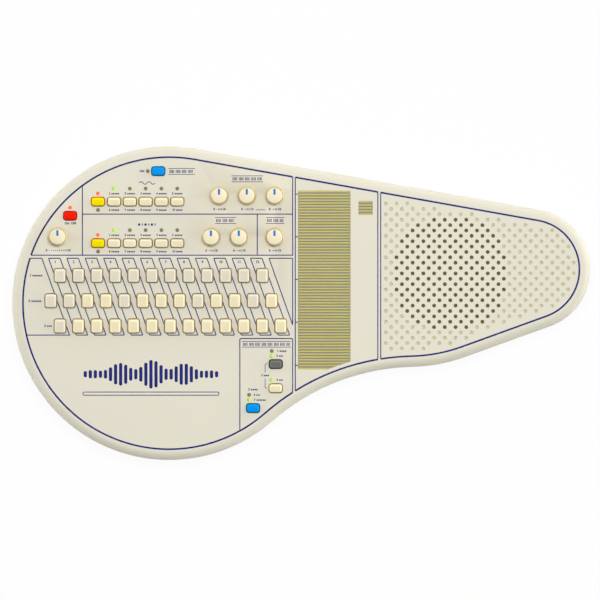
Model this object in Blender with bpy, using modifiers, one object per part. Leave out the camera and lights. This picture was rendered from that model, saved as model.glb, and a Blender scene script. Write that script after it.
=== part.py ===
"""Electronic autoharp: a flat, drop-shaped instrument with chord buttons, a strum plate and a speaker.

Lengths are in metres. The origin is under the middle of the instrument, on the surface it stands on.
+Z is up, +X points to the speaker end and +Y to the edge that holds the jacks.
Every moving piece has its object origin on the axis that it turns about or slides along.
"""

import math

import bmesh
import bpy
from mathutils import Matrix

MM = 0.001
WELD = 0.001 * MM  # points nearer than this are one point
SMOOTH_ANGLE = 30  # degrees between faces that still shade as one surface

# Fits
REST_GAP = 0.3 * MM  # between pieces that touch on the real instrument
BUTTON_PLAY = 0.3 * MM  # around a button or a light in its hole
SEAT_OVERLAP = 0.5 * MM  # how far a boss or a component is sunk into the piece that it grows from

# Housing, seen from above: two round ends, a straight far edge and an S-shaped near edge
BIG_END_X = -133.0 * MM
BIG_END_Y = 0.0
BIG_END_RADIUS = 158.0 * MM
SMALL_END_X = 230.0 * MM
SMALL_END_Y = 34.0 * MM
SMALL_END_RADIUS = 61.0 * MM
NEAR_EDGE_TILT = math.radians(19.9)
NEAR_EDGE_LENGTH = 90.6 * MM
HIP_RADIUS = 171.0 * MM
WAIST_RADIUS = 221.0 * MM
ARC_STEP = math.radians(6.2)
SMALL_END_STEP = math.radians(12.0)

# Housing, seen from the side
FOOT_HEIGHT = 2.5 * MM
FOOT_RADIUS = 9.0 * MM
FOOT_SIDES = 12
FOOT_CIRCLE_RADIUS = 130.0 * MM
FOOT_TURNS = (45, 135, 225, 315)  # degrees round the big end
HOUSING_HEIGHT = 43.5 * MM
WALL = 2.5 * MM
PARTING_HEIGHT = 19.5 * MM
TOP_EDGE_RADIUS = 8.0 * MM
TOP_EDGE_STEPS = 3
BASE_EDGE_RADIUS = 5.0 * MM
BASE_EDGE_STEPS = 2
SCREW_BOSS_RADIUS = 4.0 * MM
SCREW_BOSS_INSET = 9.0 * MM
BIG_END_SCREW_TURNS = (115, 165, 215, 265)  # degrees
HIP_SCREW_TURN = -85
FAR_EDGE_SCREW_SHARE = 0.57  # of the way along the straight far edge
SCREW_RECESS_RADIUS = 2.8 * MM
SCREW_RECESS_DEPTH = 9.0 * MM
BOSS_SIDES = 6

# Chord buttons: three rows, the middle one set half a pitch to the left
CHORD_COUNTS = (12, 13, 13)
CHORD_PITCH = 18.5 * MM
CHORD_ROW_PITCH = 25.4 * MM
CHORD_LEFT_X = -242.6 * MM
CHORD_FAR_Y = 27.8 * MM
CHORD_WIDTH = 12.3 * MM
CHORD_DEPTH = 14.8 * MM
CHORD_CORNER = 2.6 * MM
CHORD_HEIGHT = 5.5 * MM
CHORD_TRAVEL = 1.5 * MM

# Function buttons, also in two rows of one yellow and five cream ones
FUNCTION_WIDTH = 13.9 * MM
FUNCTION_DEPTH = 9.5 * MM
FUNCTION_CORNER = 2.8 * MM
FUNCTION_HEIGHT = 4.0 * MM
FUNCTION_TRAVEL = 1.0 * MM
ROW_LEFT_X = -204.4 * MM
ROW_FIRST_STEP = 16.1 * MM
ROW_PITCH = 15.9 * MM
ROW_CREAM_COUNT = 5
VOICE_ROW_Y = 102.1 * MM
PATTERN_ROW_Y = 60.3 * MM
SINGLE_BUTTONS = {
    "power_button": (-232.5 * MM, 87.9 * MM, "red"),
    "keyboard_button": (-143.8 * MM, 132.8 * MM, "blue"),
    "chord_auto_button": (-25.6 * MM, -61.3 * MM, "dark_grey"),
    "chord_hold_button": (-25.6 * MM, -85.6 * MM, "cream"),
    "rhythm_start_button": (-48.4 * MM, -105.6 * MM, "blue"),
}

# Every button cap: a skirt under the panel keeps it in, tapered sides, a rounded shoulder, a flat top
CAP_SKIRT_FLARE = 1.0 * MM
CAP_SKIRT_HEIGHT = 1.8 * MM
CAP_SIDE_TAPER = 0.9 * MM
CAP_SHOULDER_HEIGHT = 1.2 * MM
CAP_SHOULDER_WIDTH = 1.4 * MM
BANK_RAIL_MARGIN = 0.6 * MM

# Lights: the rows stand off their buttons, the others are listed
LIGHT_RADIUS = 1.7 * MM
LIGHT_PROUD = 0.4 * MM
LIGHT_SIDES = 6
LIGHT_ROW_OFFSET = 13.2 * MM
SELECT_LIGHT_OFFSETS = (8.3 * MM, -8.3 * MM)
SINGLE_LIGHTS = (
    (-232.3 * MM, 96.2 * MM),
    (-154.4 * MM, 132.8 * MM),
    (-29.6 * MM, -48.1 * MM),
    (-29.6 * MM, -53.0 * MM),
    (-29.6 * MM, -77.2 * MM),
    (-52.4 * MM, -92.2 * MM),
    (-52.4 * MM, -97.3 * MM),
)

# Knobs on the shafts of the potentiometers
KNOBS = {
    "master_volume_knob": (-245.0 * MM, 66.7 * MM),
    "strum_sustain_knob": (-82.6 * MM, 108.1 * MM),
    "strum_main_volume_knob": (-54.7 * MM, 108.1 * MM),
    "strum_sub_volume_knob": (-26.8 * MM, 108.1 * MM),
    "rhythm_tempo_knob": (-90.7 * MM, 66.5 * MM),
    "rhythm_volume_knob": (-62.7 * MM, 66.5 * MM),
    "chord_volume_knob": (-26.8 * MM, 66.5 * MM),
}
KNOB_BASE_RADIUS = 9.75 * MM
KNOB_SHOULDER_RADIUS = 8.4 * MM
KNOB_TOP_RADIUS = 7.6 * MM
KNOB_HEIGHT = 14.2 * MM
KNOB_SHOULDER_HEIGHT = 0.9 * MM
KNOB_BORE_DEPTH = 9.0 * MM
KNOB_SIDES = 14
POINTER_WIDTH = 1.6 * MM
POINTER_LENGTH = 5.6 * MM
POINTER_DEPTH = 0.4 * MM
SHAFT_RADIUS = 3.0 * MM
SHAFT_HOLE_PLAY = 0.6 * MM
SHAFT_SIDES = 6
POT_WIDTH = 14.0 * MM

# Strum plate: metal strips on a board under the panel, seen through two windows
STRIP_COUNT = 63
STRIP_PITCH = 2.868 * MM
STRIP_WIDTH = 1.6 * MM
STRIP_HEIGHT = 0.3 * MM
STRUM_LEFT_X = -3.2 * MM
STRUM_FAR_Y = 113.0 * MM
STRUM_WIDTH = 52.7 * MM
STRUM_CUT_WIDTH = 22.8 * MM
STRUM_CUT_LENGTH = 8.0 * MM
PAD_COUNT = 5
PAD_PITCH = 3.06 * MM
PAD_LEFT_X = 57.7 * MM
PAD_FAR_Y = 102.7 * MM
PAD_WIDTH = 14.1 * MM
STRUM_BOARD_MARGIN = 3.5 * MM
STRUM_BOARD_THICKNESS = 1.6 * MM
STRUM_SUNK = 0.1 * MM  # strips below the face of the panel

# Speaker and the through holes of its grille, on a square lattice turned by 45 degrees
SPEAKER_X = 149.9 * MM
SPEAKER_Y = 29.9 * MM
GRILLE_HALF_PITCH = 5.4 * MM
GRILLE_HOLE_RADIUS = 1.75 * MM
GRILLE_HOLE_SIDES = 6
GRILLE_RADIUS = 58.9 * MM
SPEAKER_RADIUS = 61.0 * MM
SPEAKER_FLANGE_THICKNESS = 2.0 * MM
SPEAKER_FLANGE_WIDTH = 5.0 * MM
SPEAKER_SURROUND_WIDTH = 6.0 * MM
SPEAKER_CONE_DEPTH = 16.0 * MM
SPEAKER_DUST_CAP_RADIUS = 14.0 * MM
SPEAKER_DUST_CAP_RISE = 4.0 * MM
SPEAKER_DUST_CAP_SHOULDER = (8.4 * MM, 3.0 * MM)  # radius and rise
SPEAKER_BASKET_WALL = 3.0 * MM
SPEAKER_MAGNET_RADIUS = 30.0 * MM
SPEAKER_MAGNET_THICKNESS = 13.0 * MM
SPEAKER_SIDES = 20

# Control board under the panel
BOARD_INSET = 15.0 * MM
BOARD_RIGHT_X = -11.0 * MM
BOARD_NEAR_Y = -114.0 * MM
BOARD_THICKNESS = 1.6 * MM
MAT_THICKNESS = 1.4 * MM
SWITCH_WIDTH = 6.0 * MM
STANDOFF_RADIUS = 3.0 * MM
STANDOFFS = (
    (-225.0 * MM, 45.5 * MM),
    (-44.0 * MM, 45.5 * MM),
    (-165.0 * MM, 124.0 * MM),
    (-200.0 * MM, -60.0 * MM),
    (-90.0 * MM, -60.0 * MM),
)

# Jacks on the board, behind the far wall: power inlet, headphones, output
JACK_COUNT = 3
JACK_PITCH = 30.0 * MM
JACK_WIDTH = 14.0 * MM
JACK_HEIGHT = 12.0 * MM
JACK_LENGTH = 24.0 * MM
JACK_SETBACK = 3.0 * MM  # of the body's front from the wall
JACK_NOSE_RADIUS = 5.2 * MM
JACK_BORE_RADIUS = 3.3 * MM
JACK_BORE_DEPTH = 20.0 * MM
JACK_SIDES = 8

# Battery bay in the base, for six pen cells side by side, and its door
BAY_X = -133.0 * MM
BAY_Y = 0.0
BAY_WIDTH = 91.0 * MM
BAY_LENGTH = 56.0 * MM
BAY_DEPTH = 15.8 * MM
BAY_WALL = 2.0 * MM
DOOR_LEDGE = 3.0 * MM
DOOR_RIB_HEIGHT = 1.2 * MM
DOOR_RIB_MARGIN = 2.0 * MM
FINGER_SCOOP_WIDTH = 16.0 * MM
FINGER_SCOOP_LENGTH = 5.0 * MM
FINGER_SCOOP_DEPTH = 1.0 * MM

# Heights above the table that follow from the sizes
BASE_Z = FOOT_HEIGHT
FLOOR_Z = BASE_Z + WALL
PARTING_Z = BASE_Z + PARTING_HEIGHT
PANEL_Z = BASE_Z + HOUSING_HEIGHT
CEILING_Z = PANEL_Z - WALL
SKIRT_BOTTOM_Z = CEILING_Z - REST_GAP - CAP_SKIRT_HEIGHT
BOARD_TOP_Z = SKIRT_BOTTOM_Z - CHORD_TRAVEL - REST_GAP - MAT_THICKNESS
BOARD_BOTTOM_Z = BOARD_TOP_Z - BOARD_THICKNESS
KNOB_BOTTOM_Z = PANEL_Z + REST_GAP

COLOURS = {
    "case_ivory": ((0.760, 0.740, 0.600), 0.45, 0.0),
    "button_white": ((0.780, 0.720, 0.590), 0.40, 0.0),
    "cream": ((0.900, 0.800, 0.560), 0.38, 0.0),
    "knob_cream": ((0.905, 0.830, 0.620), 0.35, 0.0),
    "yellow": ((0.940, 0.720, 0.010), 0.35, 0.0),
    "red": ((0.900, 0.035, 0.005), 0.35, 0.0),
    "blue": ((0.005, 0.280, 0.850), 0.35, 0.0),
    "dark_grey": ((0.130, 0.140, 0.115), 0.40, 0.0),
    "strip_gold": ((0.540, 0.450, 0.150), 0.35, 0.7),
    "speaker_black": ((0.020, 0.020, 0.020), 0.70, 0.0),
    "board_green": ((0.030, 0.160, 0.070), 0.50, 0.0),
}


def clear_scene():
    for leftover in list(bpy.data.objects):
        bpy.data.objects.remove(leftover, do_unlink=True)


def new_collection(name):
    collection = bpy.data.collections.new(name)
    bpy.context.scene.collection.children.link(collection)
    return collection


def make_material(name):
    colour, roughness, metallic = COLOURS[name]
    material = bpy.data.materials.new(name)
    material.use_nodes = True
    shader = material.node_tree.nodes["Principled BSDF"]
    shader.inputs["Base Color"].default_value = (*colour, 1.0)
    shader.inputs["Roughness"].default_value = roughness
    shader.inputs["Metallic"].default_value = metallic
    material.diffuse_color = (*colour, 1.0)
    return material


clear_scene()
PARTS = new_collection("electronic_autoharp")
CUTTERS = new_collection("cutters")
MATERIALS = {name: make_material(name) for name in COLOURS}


# Outlines, as lists of (x, y) points


def direction(angle):
    return math.cos(angle), math.sin(angle)


def arc(centre, radius, start, end, step):
    """Points along an arc, both ends included."""
    count = max(1, math.ceil(abs(end - start) / step))
    angles = [start + (end - start) * i / count for i in range(count + 1)]
    return [(centre[0] + radius * math.cos(a), centre[1] + radius * math.sin(a)) for a in angles]


def polygon(centre, radius, sides):
    """A regular polygon that stands for a circle, with a flat side facing +X."""
    step = math.tau / sides
    return arc(centre, radius, step / 2, step / 2 + math.tau - step, step * 1.001)


def rectangle(left, right, near, far):
    return [(left, near), (right, near), (right, far), (left, far)]


def square(centre, width):
    half = width / 2
    return rectangle(centre[0] - half, centre[0] + half, centre[1] - half, centre[1] + half)


def rounded_rectangle(width, depth, corner, centre=(0.0, 0.0)):
    """A rectangle whose corners are cut by a quarter turn in one step."""
    outline = []
    for quarter in range(4):
        sign_x = 1 if quarter in (0, 3) else -1
        sign_y = 1 if quarter in (0, 1) else -1
        middle = (centre[0] + sign_x * (width / 2 - corner), centre[1] + sign_y * (depth / 2 - corner))
        start = quarter * math.pi / 2
        outline += arc(middle, corner, start, start + math.pi / 2, math.pi / 2)
    return outline


def cap_outline(width, depth, corner, inset, centre=(0.0, 0.0)):
    """The outline of a button cap, drawn in by an inset, or out where the inset is negative."""
    return rounded_rectangle(width - 2 * inset, depth - 2 * inset, corner - inset / 2, centre)


def waist_geometry():
    """Centres of the hip and the waist, and the directions in which the housing's arcs meet."""
    near_normal = direction(NEAR_EDGE_TILT - math.pi / 2)
    along = (-math.cos(NEAR_EDGE_TILT), -math.sin(NEAR_EDGE_TILT))
    step_in = SMALL_END_RADIUS - HIP_RADIUS
    hip = (
        SMALL_END_X + NEAR_EDGE_LENGTH * along[0] + step_in * near_normal[0],
        SMALL_END_Y + NEAR_EDGE_LENGTH * along[1] + step_in * near_normal[1],
    )
    # The waist touches the big end and the hip from outside, so its centre is where two circles cross.
    reach_big = BIG_END_RADIUS + WAIST_RADIUS
    reach_hip = HIP_RADIUS + WAIST_RADIUS
    across = (hip[0] - BIG_END_X, hip[1] - BIG_END_Y)
    span = math.hypot(*across)
    base = (reach_big**2 - reach_hip**2 + span**2) / (2 * span)
    rise = math.sqrt(reach_big**2 - base**2)
    unit = (across[0] / span, across[1] / span)
    waist = (
        BIG_END_X + base * unit[0] + rise * unit[1],
        BIG_END_Y + base * unit[1] - rise * unit[0],
    )
    return hip, waist


def far_edge_angle():
    """Direction from either round end's centre to where the straight far edge touches it."""
    across = (SMALL_END_X - BIG_END_X, SMALL_END_Y - BIG_END_Y)
    lean = math.acos((BIG_END_RADIUS - SMALL_END_RADIUS) / math.hypot(*across))
    return math.atan2(across[1], across[0]) + lean


def housing_outline(inset):
    """The housing seen from above, anticlockwise, drawn in by the inset all round."""
    hip, waist = waist_geometry()
    far = far_edge_angle()
    to_waist = math.atan2(waist[1] - BIG_END_Y, waist[0] - BIG_END_X) + math.tau
    waist_to_big = to_waist - math.pi
    waist_to_hip = math.atan2(hip[1] - waist[1], hip[0] - waist[0])
    near = NEAR_EDGE_TILT - math.pi / 2
    points = arc((BIG_END_X, BIG_END_Y), BIG_END_RADIUS - inset, far, to_waist, ARC_STEP)
    points += arc(waist, WAIST_RADIUS + inset, waist_to_big, waist_to_hip, ARC_STEP)[1:]
    points += arc(hip, HIP_RADIUS - inset, waist_to_hip - math.pi, near, ARC_STEP)[1:]
    points += arc((SMALL_END_X, SMALL_END_Y), SMALL_END_RADIUS - inset, near, far, SMALL_END_STEP)
    return points


# Solids and how they are joined


def adopt(name, mesh, collection):
    obj = bpy.data.objects.new(name, mesh)
    collection.objects.link(obj)
    if collection == CUTTERS:
        obj.hide_render = True
        obj.display_type = "WIRE"
    return obj


def close_mesh(name, bm):
    bmesh.ops.recalc_face_normals(bm, faces=bm.faces)
    mesh = bpy.data.meshes.new(name)
    bm.to_mesh(mesh)
    bm.free()
    return mesh


def prism(name, outlines, low, high, collection=None):
    """A solid between two heights, filled inside each outline, made from a flat curve."""
    curve = bpy.data.curves.new(name, "CURVE")
    curve.dimensions = "2D"
    curve.fill_mode = "BOTH"
    curve.extrude = (high - low) / 2
    for outline in outlines:
        spline = curve.splines.new("POLY")
        spline.points.add(len(outline) - 1)
        for point, (x, y) in zip(spline.points, outline):
            point.co = (x, y, 0.0, 1.0)
        spline.use_cyclic_u = True
    guide = bpy.data.objects.new(name, curve)
    bpy.context.scene.collection.objects.link(guide)
    graph = bpy.context.evaluated_depsgraph_get()
    filled = bpy.data.meshes.new_from_object(guide.evaluated_get(graph))
    bpy.data.objects.remove(guide, do_unlink=True)
    bm = bmesh.new()
    bm.from_mesh(filled)
    bpy.data.meshes.remove(filled)
    bmesh.ops.remove_doubles(bm, verts=bm.verts, dist=WELD)
    bmesh.ops.dissolve_limit(bm, angle_limit=math.radians(0.1), verts=bm.verts, edges=bm.edges)
    bmesh.ops.translate(bm, verts=bm.verts, vec=(0.0, 0.0, (low + high) / 2))
    return adopt(name, close_mesh(name, bm), collection or CUTTERS)


def loft_mesh(name, sections):
    """A closed mesh through sections with equally many points, each an outline and its height."""
    bm = bmesh.new()
    rings = [[bm.verts.new((x, y, height)) for x, y in outline] for outline, height in sections]
    for lower, upper in zip(rings, rings[1:]):
        for i in range(len(lower)):
            j = (i + 1) % len(lower)
            bm.faces.new((lower[i], lower[j], upper[j], upper[i]))
    bm.faces.new(rings[0])
    bm.faces.new(rings[-1])
    return close_mesh(name, bm)


def rods_along_y(name, places, radius, sides):
    """Round rods along Y as one cutter or tool. Each place is (x, z, low y, high y)."""
    bm = bmesh.new()
    for x, z, low, high in places:
        turn = Matrix.Rotation(math.pi / 2, 4, "X") @ Matrix.Rotation(math.pi / sides, 4, "Z")
        bmesh.ops.create_cone(
            bm,
            cap_ends=True,
            segments=sides,
            radius1=radius,
            radius2=radius,
            depth=high - low,
            matrix=Matrix.Translation((x, (low + high) / 2, z)) @ turn,
        )
    return adopt(name, close_mesh(name, bm), CUTTERS)


def turned(name, profile, sides, collection):
    """A turned solid: the profile's (radius, height) points run from the top of the axis to its foot."""
    bm = bmesh.new()
    points = [bm.verts.new((radius, 0.0, height)) for radius, height in profile]
    for upper, lower in zip(points, points[1:]):
        bm.edges.new((upper, lower))
    mesh = bpy.data.meshes.new(name)
    bm.to_mesh(mesh)
    bm.free()
    obj = adopt(name, mesh, collection)
    screw = obj.modifiers.new("turn", "SCREW")
    screw.steps = sides
    screw.render_steps = sides
    screw.use_merge_vertices = True
    screw.merge_threshold = WELD
    screw.use_smooth_shade = False
    return obj


def round_edges(obj, height, radius, steps):
    """Rounds the outer edges of a prism that lie at one height."""
    bm = bmesh.new()
    bm.from_mesh(obj.data)
    edges = [e for e in bm.edges if all(abs(v.co.z - height) < WELD for v in e.verts)]
    bmesh.ops.bevel(
        bm,
        geom=edges,
        offset=radius,
        offset_type="OFFSET",
        segments=steps,
        profile=0.5,
        affect="EDGES",
        clamp_overlap=False,
    )
    bm.to_mesh(obj.data)
    bm.free()


def combine(body, operation, tool):
    modifier = body.modifiers.new(tool.name, "BOOLEAN")
    modifier.operation = operation
    modifier.solver = "EXACT"
    modifier.object = tool


def cut(body, tool):
    combine(body, "DIFFERENCE", tool)


def join(body, tool):
    combine(body, "UNION", tool)


def finish(obj, material):
    obj.data.materials.clear()
    obj.data.materials.append(MATERIALS[material])
    obj.data.shade_smooth()
    obj.data.set_sharp_from_angle(angle=math.radians(SMOOTH_ANGLE))


# Where things are on the panel


def chord_places():
    """Each chord button's name, column and place, row by row from the far side."""
    places = []
    for row, count in enumerate(CHORD_COUNTS):
        left = CHORD_LEFT_X - (CHORD_PITCH / 2 if row == 1 else 0.0)
        y = CHORD_FAR_Y - row * CHORD_ROW_PITCH
        for column in range(count):
            name = f"chord_button_{row + 1}_{column + 1:02d}"
            places.append((name, row, column, (left + column * CHORD_PITCH, y)))
    return places


def row_places(row_y):
    """The five cream buttons of a function row."""
    first = ROW_LEFT_X + ROW_FIRST_STEP
    return [(first + i * ROW_PITCH, row_y) for i in range(ROW_CREAM_COUNT)]


def light_places():
    places = list(SINGLE_LIGHTS)
    for row_y in (VOICE_ROW_Y, PATTERN_ROW_Y):
        places += [(x, y + LIGHT_ROW_OFFSET) for x, y in row_places(row_y)]
        places += [(ROW_LEFT_X, row_y + offset) for offset in SELECT_LIGHT_OFFSETS]
    return places


def function_places():
    places = [(x, y) for x, y, _ in SINGLE_BUTTONS.values()]
    for row_y in (VOICE_ROW_Y, PATTERN_ROW_Y):
        places += [(ROW_LEFT_X, row_y)] + row_places(row_y)
    return places


def grille_places():
    """Lattice points inside the speaker's circle. The circle's centre lies between four holes."""
    reach = int(GRILLE_RADIUS / GRILLE_HALF_PITCH)
    places = []
    for row in range(-reach, reach + 1):
        for column in range(-reach, reach + 1):
            offset = (column * GRILLE_HALF_PITCH, row * GRILLE_HALF_PITCH)
            if (row + column) % 2 and math.hypot(*offset) <= GRILLE_RADIUS:
                places.append((SPEAKER_X + offset[0], SPEAKER_Y + offset[1]))
    return places


def strum_outline(margin):
    """The strip field with its cut near corner, widened by the margin on every side."""
    right = STRUM_LEFT_X + STRUM_WIDTH
    near = STRUM_FAR_Y - (STRIP_COUNT - 1) * STRIP_PITCH - STRIP_WIDTH
    lean = math.atan2(STRUM_CUT_LENGTH, STRUM_CUT_WIDTH)
    to_near = margin * math.tan(lean / 2)
    to_right = margin * math.tan((math.pi / 2 - lean) / 2)
    return [
        (STRUM_LEFT_X - margin, STRUM_FAR_Y + margin),
        (STRUM_LEFT_X - margin, near - margin),
        (right - STRUM_CUT_WIDTH + to_near, near - margin),
        (right + margin, near + STRUM_CUT_LENGTH - to_right),
        (right + margin, STRUM_FAR_Y + margin),
    ]


def pad_outline(margin):
    near = PAD_FAR_Y - (PAD_COUNT - 1) * PAD_PITCH - STRIP_WIDTH
    return rectangle(PAD_LEFT_X - margin, PAD_LEFT_X + PAD_WIDTH + margin, near - margin, PAD_FAR_Y + margin)


def screw_places():
    """Where the base is screwed to the top, a fixed way in from the edge."""
    big = BIG_END_RADIUS - SCREW_BOSS_INSET
    turns = [direction(math.radians(a)) for a in BIG_END_SCREW_TURNS]
    places = [(BIG_END_X + big * x, BIG_END_Y + big * y) for x, y in turns]
    places.append((SMALL_END_X + SMALL_END_RADIUS - SCREW_BOSS_INSET, SMALL_END_Y))
    hip, _ = waist_geometry()
    hip_x, hip_y = direction(math.radians(HIP_SCREW_TURN))
    reach = HIP_RADIUS - SCREW_BOSS_INSET
    places.append((hip[0] + reach * hip_x, hip[1] + reach * hip_y))
    far_x, far_y = direction(far_edge_angle())
    share = FAR_EDGE_SCREW_SHARE
    along_x = BIG_END_X + share * (SMALL_END_X - BIG_END_X)
    along_y = BIG_END_Y + share * (SMALL_END_Y - BIG_END_Y)
    reach = BIG_END_RADIUS + share * (SMALL_END_RADIUS - BIG_END_RADIUS) - SCREW_BOSS_INSET
    places.append((along_x + reach * far_x, along_y + reach * far_y))
    return places


def foot_places():
    turns = [direction(math.radians(a)) for a in FOOT_TURNS]
    places = [(BIG_END_X + FOOT_CIRCLE_RADIUS * x, BIG_END_Y + FOOT_CIRCLE_RADIUS * y) for x, y in turns]
    return places + [(SMALL_END_X, SMALL_END_Y)]


def jack_places():
    """Each jack's x, and the y of the housing's outer face there."""
    places = []
    for i in range(JACK_COUNT):
        offset = (i - (JACK_COUNT - 1) / 2) * JACK_PITCH
        places.append((BIG_END_X + offset, BIG_END_Y + math.sqrt(BIG_END_RADIUS**2 - offset**2)))
    return places


JACK_Z = BOARD_BOTTOM_Z - JACK_HEIGHT / 2


# The pieces


def make_top_case():
    """Moulded upper shell: the flat panel, its rounded edge, every hole in it and the bosses below it."""
    case = prism("top_case", [housing_outline(0.0)], PARTING_Z + REST_GAP / 2, PANEL_Z, PARTS)
    round_edges(case, PANEL_Z, TOP_EDGE_RADIUS, TOP_EDGE_STEPS)
    hollow = prism("top_hollow", [housing_outline(WALL)], PARTING_Z - WALL, CEILING_Z)
    round_edges(hollow, CEILING_Z, TOP_EDGE_RADIUS - WALL, 1)  # a plain chamfer inside
    cut(case, hollow)
    bosses = [polygon(place, SCREW_BOSS_RADIUS, BOSS_SIDES) for place in screw_places()]
    join(case, prism("top_bosses", bosses, PARTING_Z + REST_GAP / 2, CEILING_Z + SEAT_OVERLAP))
    standoffs = [polygon(place, STANDOFF_RADIUS, BOSS_SIDES) for place in STANDOFFS]
    join(case, prism("board_standoffs", standoffs, BOARD_TOP_Z + REST_GAP, CEILING_Z + SEAT_OVERLAP))
    holes = [
        cap_outline(CHORD_WIDTH, CHORD_DEPTH, CHORD_CORNER, -BUTTON_PLAY, place)
        for _, _, _, place in chord_places()
    ]
    holes += [
        cap_outline(FUNCTION_WIDTH, FUNCTION_DEPTH, FUNCTION_CORNER, -BUTTON_PLAY, place)
        for place in function_places()
    ]
    holes += [polygon(place, SHAFT_RADIUS + SHAFT_HOLE_PLAY, SHAFT_SIDES) for place in KNOBS.values()]
    holes += [polygon(place, LIGHT_RADIUS + BUTTON_PLAY, LIGHT_SIDES) for place in light_places()]
    holes += [polygon(place, GRILLE_HOLE_RADIUS, GRILLE_HOLE_SIDES) for place in grille_places()]
    holes += [strum_outline(REST_GAP), pad_outline(REST_GAP)]
    cut(case, prism("panel_holes", holes, CEILING_Z - WALL / 2, PANEL_Z + WALL / 2))
    walls = [(x, JACK_Z, y - JACK_LENGTH / 2, y + WALL) for x, y in jack_places()]
    cut(case, rods_along_y("jack_holes", walls, JACK_NOSE_RADIUS + REST_GAP, JACK_SIDES))
    finish(case, "case_ivory")


def make_bottom_case():
    """Moulded lower shell with its feet, the screw bosses and the tub of the battery bay."""
    case = prism("bottom_case", [housing_outline(0.0)], BASE_Z, PARTING_Z - REST_GAP / 2, PARTS)
    round_edges(case, BASE_Z, BASE_EDGE_RADIUS, BASE_EDGE_STEPS)
    cut(case, prism("bottom_hollow", [housing_outline(WALL)], FLOOR_Z, PARTING_Z + WALL))
    bosses = [polygon(place, SCREW_BOSS_RADIUS, BOSS_SIDES) for place in screw_places()]
    join(case, prism("bottom_bosses", bosses, FLOOR_Z - SEAT_OVERLAP, PARTING_Z - REST_GAP / 2))
    recesses = [polygon(place, SCREW_RECESS_RADIUS, BOSS_SIDES) for place in screw_places()]
    cut(case, prism("screw_recesses", recesses, 0.0, BASE_Z + SCREW_RECESS_DEPTH))
    feet = [polygon(place, FOOT_RADIUS, FOOT_SIDES) for place in foot_places()]
    join(case, prism("feet", feet, 0.0, BASE_Z + SEAT_OVERLAP))
    ledge_z = BASE_Z + WALL
    tub_top = ledge_z + BAY_DEPTH
    collar = bay_rectangle(DOOR_LEDGE + REST_GAP + BAY_WALL)
    join(case, prism("bay_collar", [collar], BASE_Z + SEAT_OVERLAP, ledge_z + BAY_WALL))
    join(case, prism("bay_tub", [bay_rectangle(BAY_WALL)], BASE_Z + SEAT_OVERLAP, tub_top + BAY_WALL))
    cut(case, prism("cell_space", [bay_rectangle(0.0)], 0.0, tub_top))
    cut(case, prism("door_recess", [bay_rectangle(DOOR_LEDGE + REST_GAP)], 0.0, ledge_z))
    finish(case, "case_ivory")


def bay_rectangle(margin):
    half_width = BAY_WIDTH / 2 + margin
    half_length = BAY_LENGTH / 2 + margin
    return rectangle(BAY_X - half_width, BAY_X + half_width, BAY_Y - half_length, BAY_Y + half_length)


def make_battery_door():
    """Flat door that swings down about its far edge. Its origin is on that edge, at the outer face."""
    hinge_y = BAY_Y + BAY_LENGTH / 2 + DOOR_LEDGE
    half_width = BAY_WIDTH / 2 + DOOR_LEDGE
    length = BAY_LENGTH + 2 * DOOR_LEDGE
    thickness = WALL - REST_GAP
    plate = rectangle(-half_width, half_width, -length, 0.0)
    door = prism("battery_door", [plate], 0.0, thickness, PARTS)
    margin = DOOR_LEDGE + DOOR_RIB_MARGIN
    rib = rectangle(-half_width + margin, half_width - margin, -length + margin, -margin)
    rib_block = prism("door_rib", [rib], thickness - SEAT_OVERLAP, thickness + DOOR_RIB_HEIGHT)
    join(door, rib_block)
    inner = margin + BAY_WALL
    dish = rectangle(-half_width + inner, half_width - inner, -length + inner, -inner)
    dish_block = prism("door_dish", [dish], thickness, thickness + 2 * DOOR_RIB_HEIGHT)
    cut(door, dish_block)
    half_scoop = FINGER_SCOOP_WIDTH / 2
    scoop_low = -length + DOOR_LEDGE
    scoop = rectangle(-half_scoop, half_scoop, scoop_low, scoop_low + FINGER_SCOOP_LENGTH)
    scoop_block = prism("finger_scoop", [scoop], -FINGER_SCOOP_DEPTH, FINGER_SCOOP_DEPTH)
    cut(door, scoop_block)
    for piece in (door, rib_block, dish_block, scoop_block):
        piece.location = (BAY_X, hinge_y, BASE_Z)
    finish(door, "case_ivory")


def cap_sections(width, depth, corner, height, centre=(0.0, 0.0), with_skirt=True):
    """Sections of a button cap, with heights counted from the face of the panel."""
    neck = -(WALL + REST_GAP)
    shoulder = CAP_SIDE_TAPER + CAP_SHOULDER_WIDTH
    levels = [
        (-CAP_SKIRT_FLARE, neck - CAP_SKIRT_HEIGHT),
        (0.0, neck),
        (CAP_SIDE_TAPER, height - CAP_SHOULDER_HEIGHT),
        (shoulder, height),
    ]
    if not with_skirt:
        levels = [(0.0, neck - SEAT_OVERLAP)] + levels[2:]
    return [(cap_outline(width, depth, corner, inset, centre), z) for inset, z in levels]


def place_button(name, mesh, place, material):
    button = adopt(name, mesh, PARTS)
    button.location = (place[0], place[1], PANEL_Z)
    button.material_slots[0].link = "OBJECT"
    button.material_slots[0].material = MATERIALS[material]


CREAM_MIDDLE_COLUMNS = (2, 3, 5, 6, 7, 9, 10, 12)


def chord_colour(row, column):
    """Cream marks the chords most used: most of the middle row and all but one of the near row."""
    cream = (row == 1 and column in CREAM_MIDDLE_COLUMNS) or (row == 2 and column > 0)
    return "cream" if cream else "button_white"


def make_chord_buttons():
    sections = cap_sections(CHORD_WIDTH, CHORD_DEPTH, CHORD_CORNER, CHORD_HEIGHT)
    mesh = loft_mesh("chord_cap", sections)
    mesh.materials.append(MATERIALS["button_white"])
    for name, row, column, place in chord_places():
        place_button(name, mesh, place, chord_colour(row, column))


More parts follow.
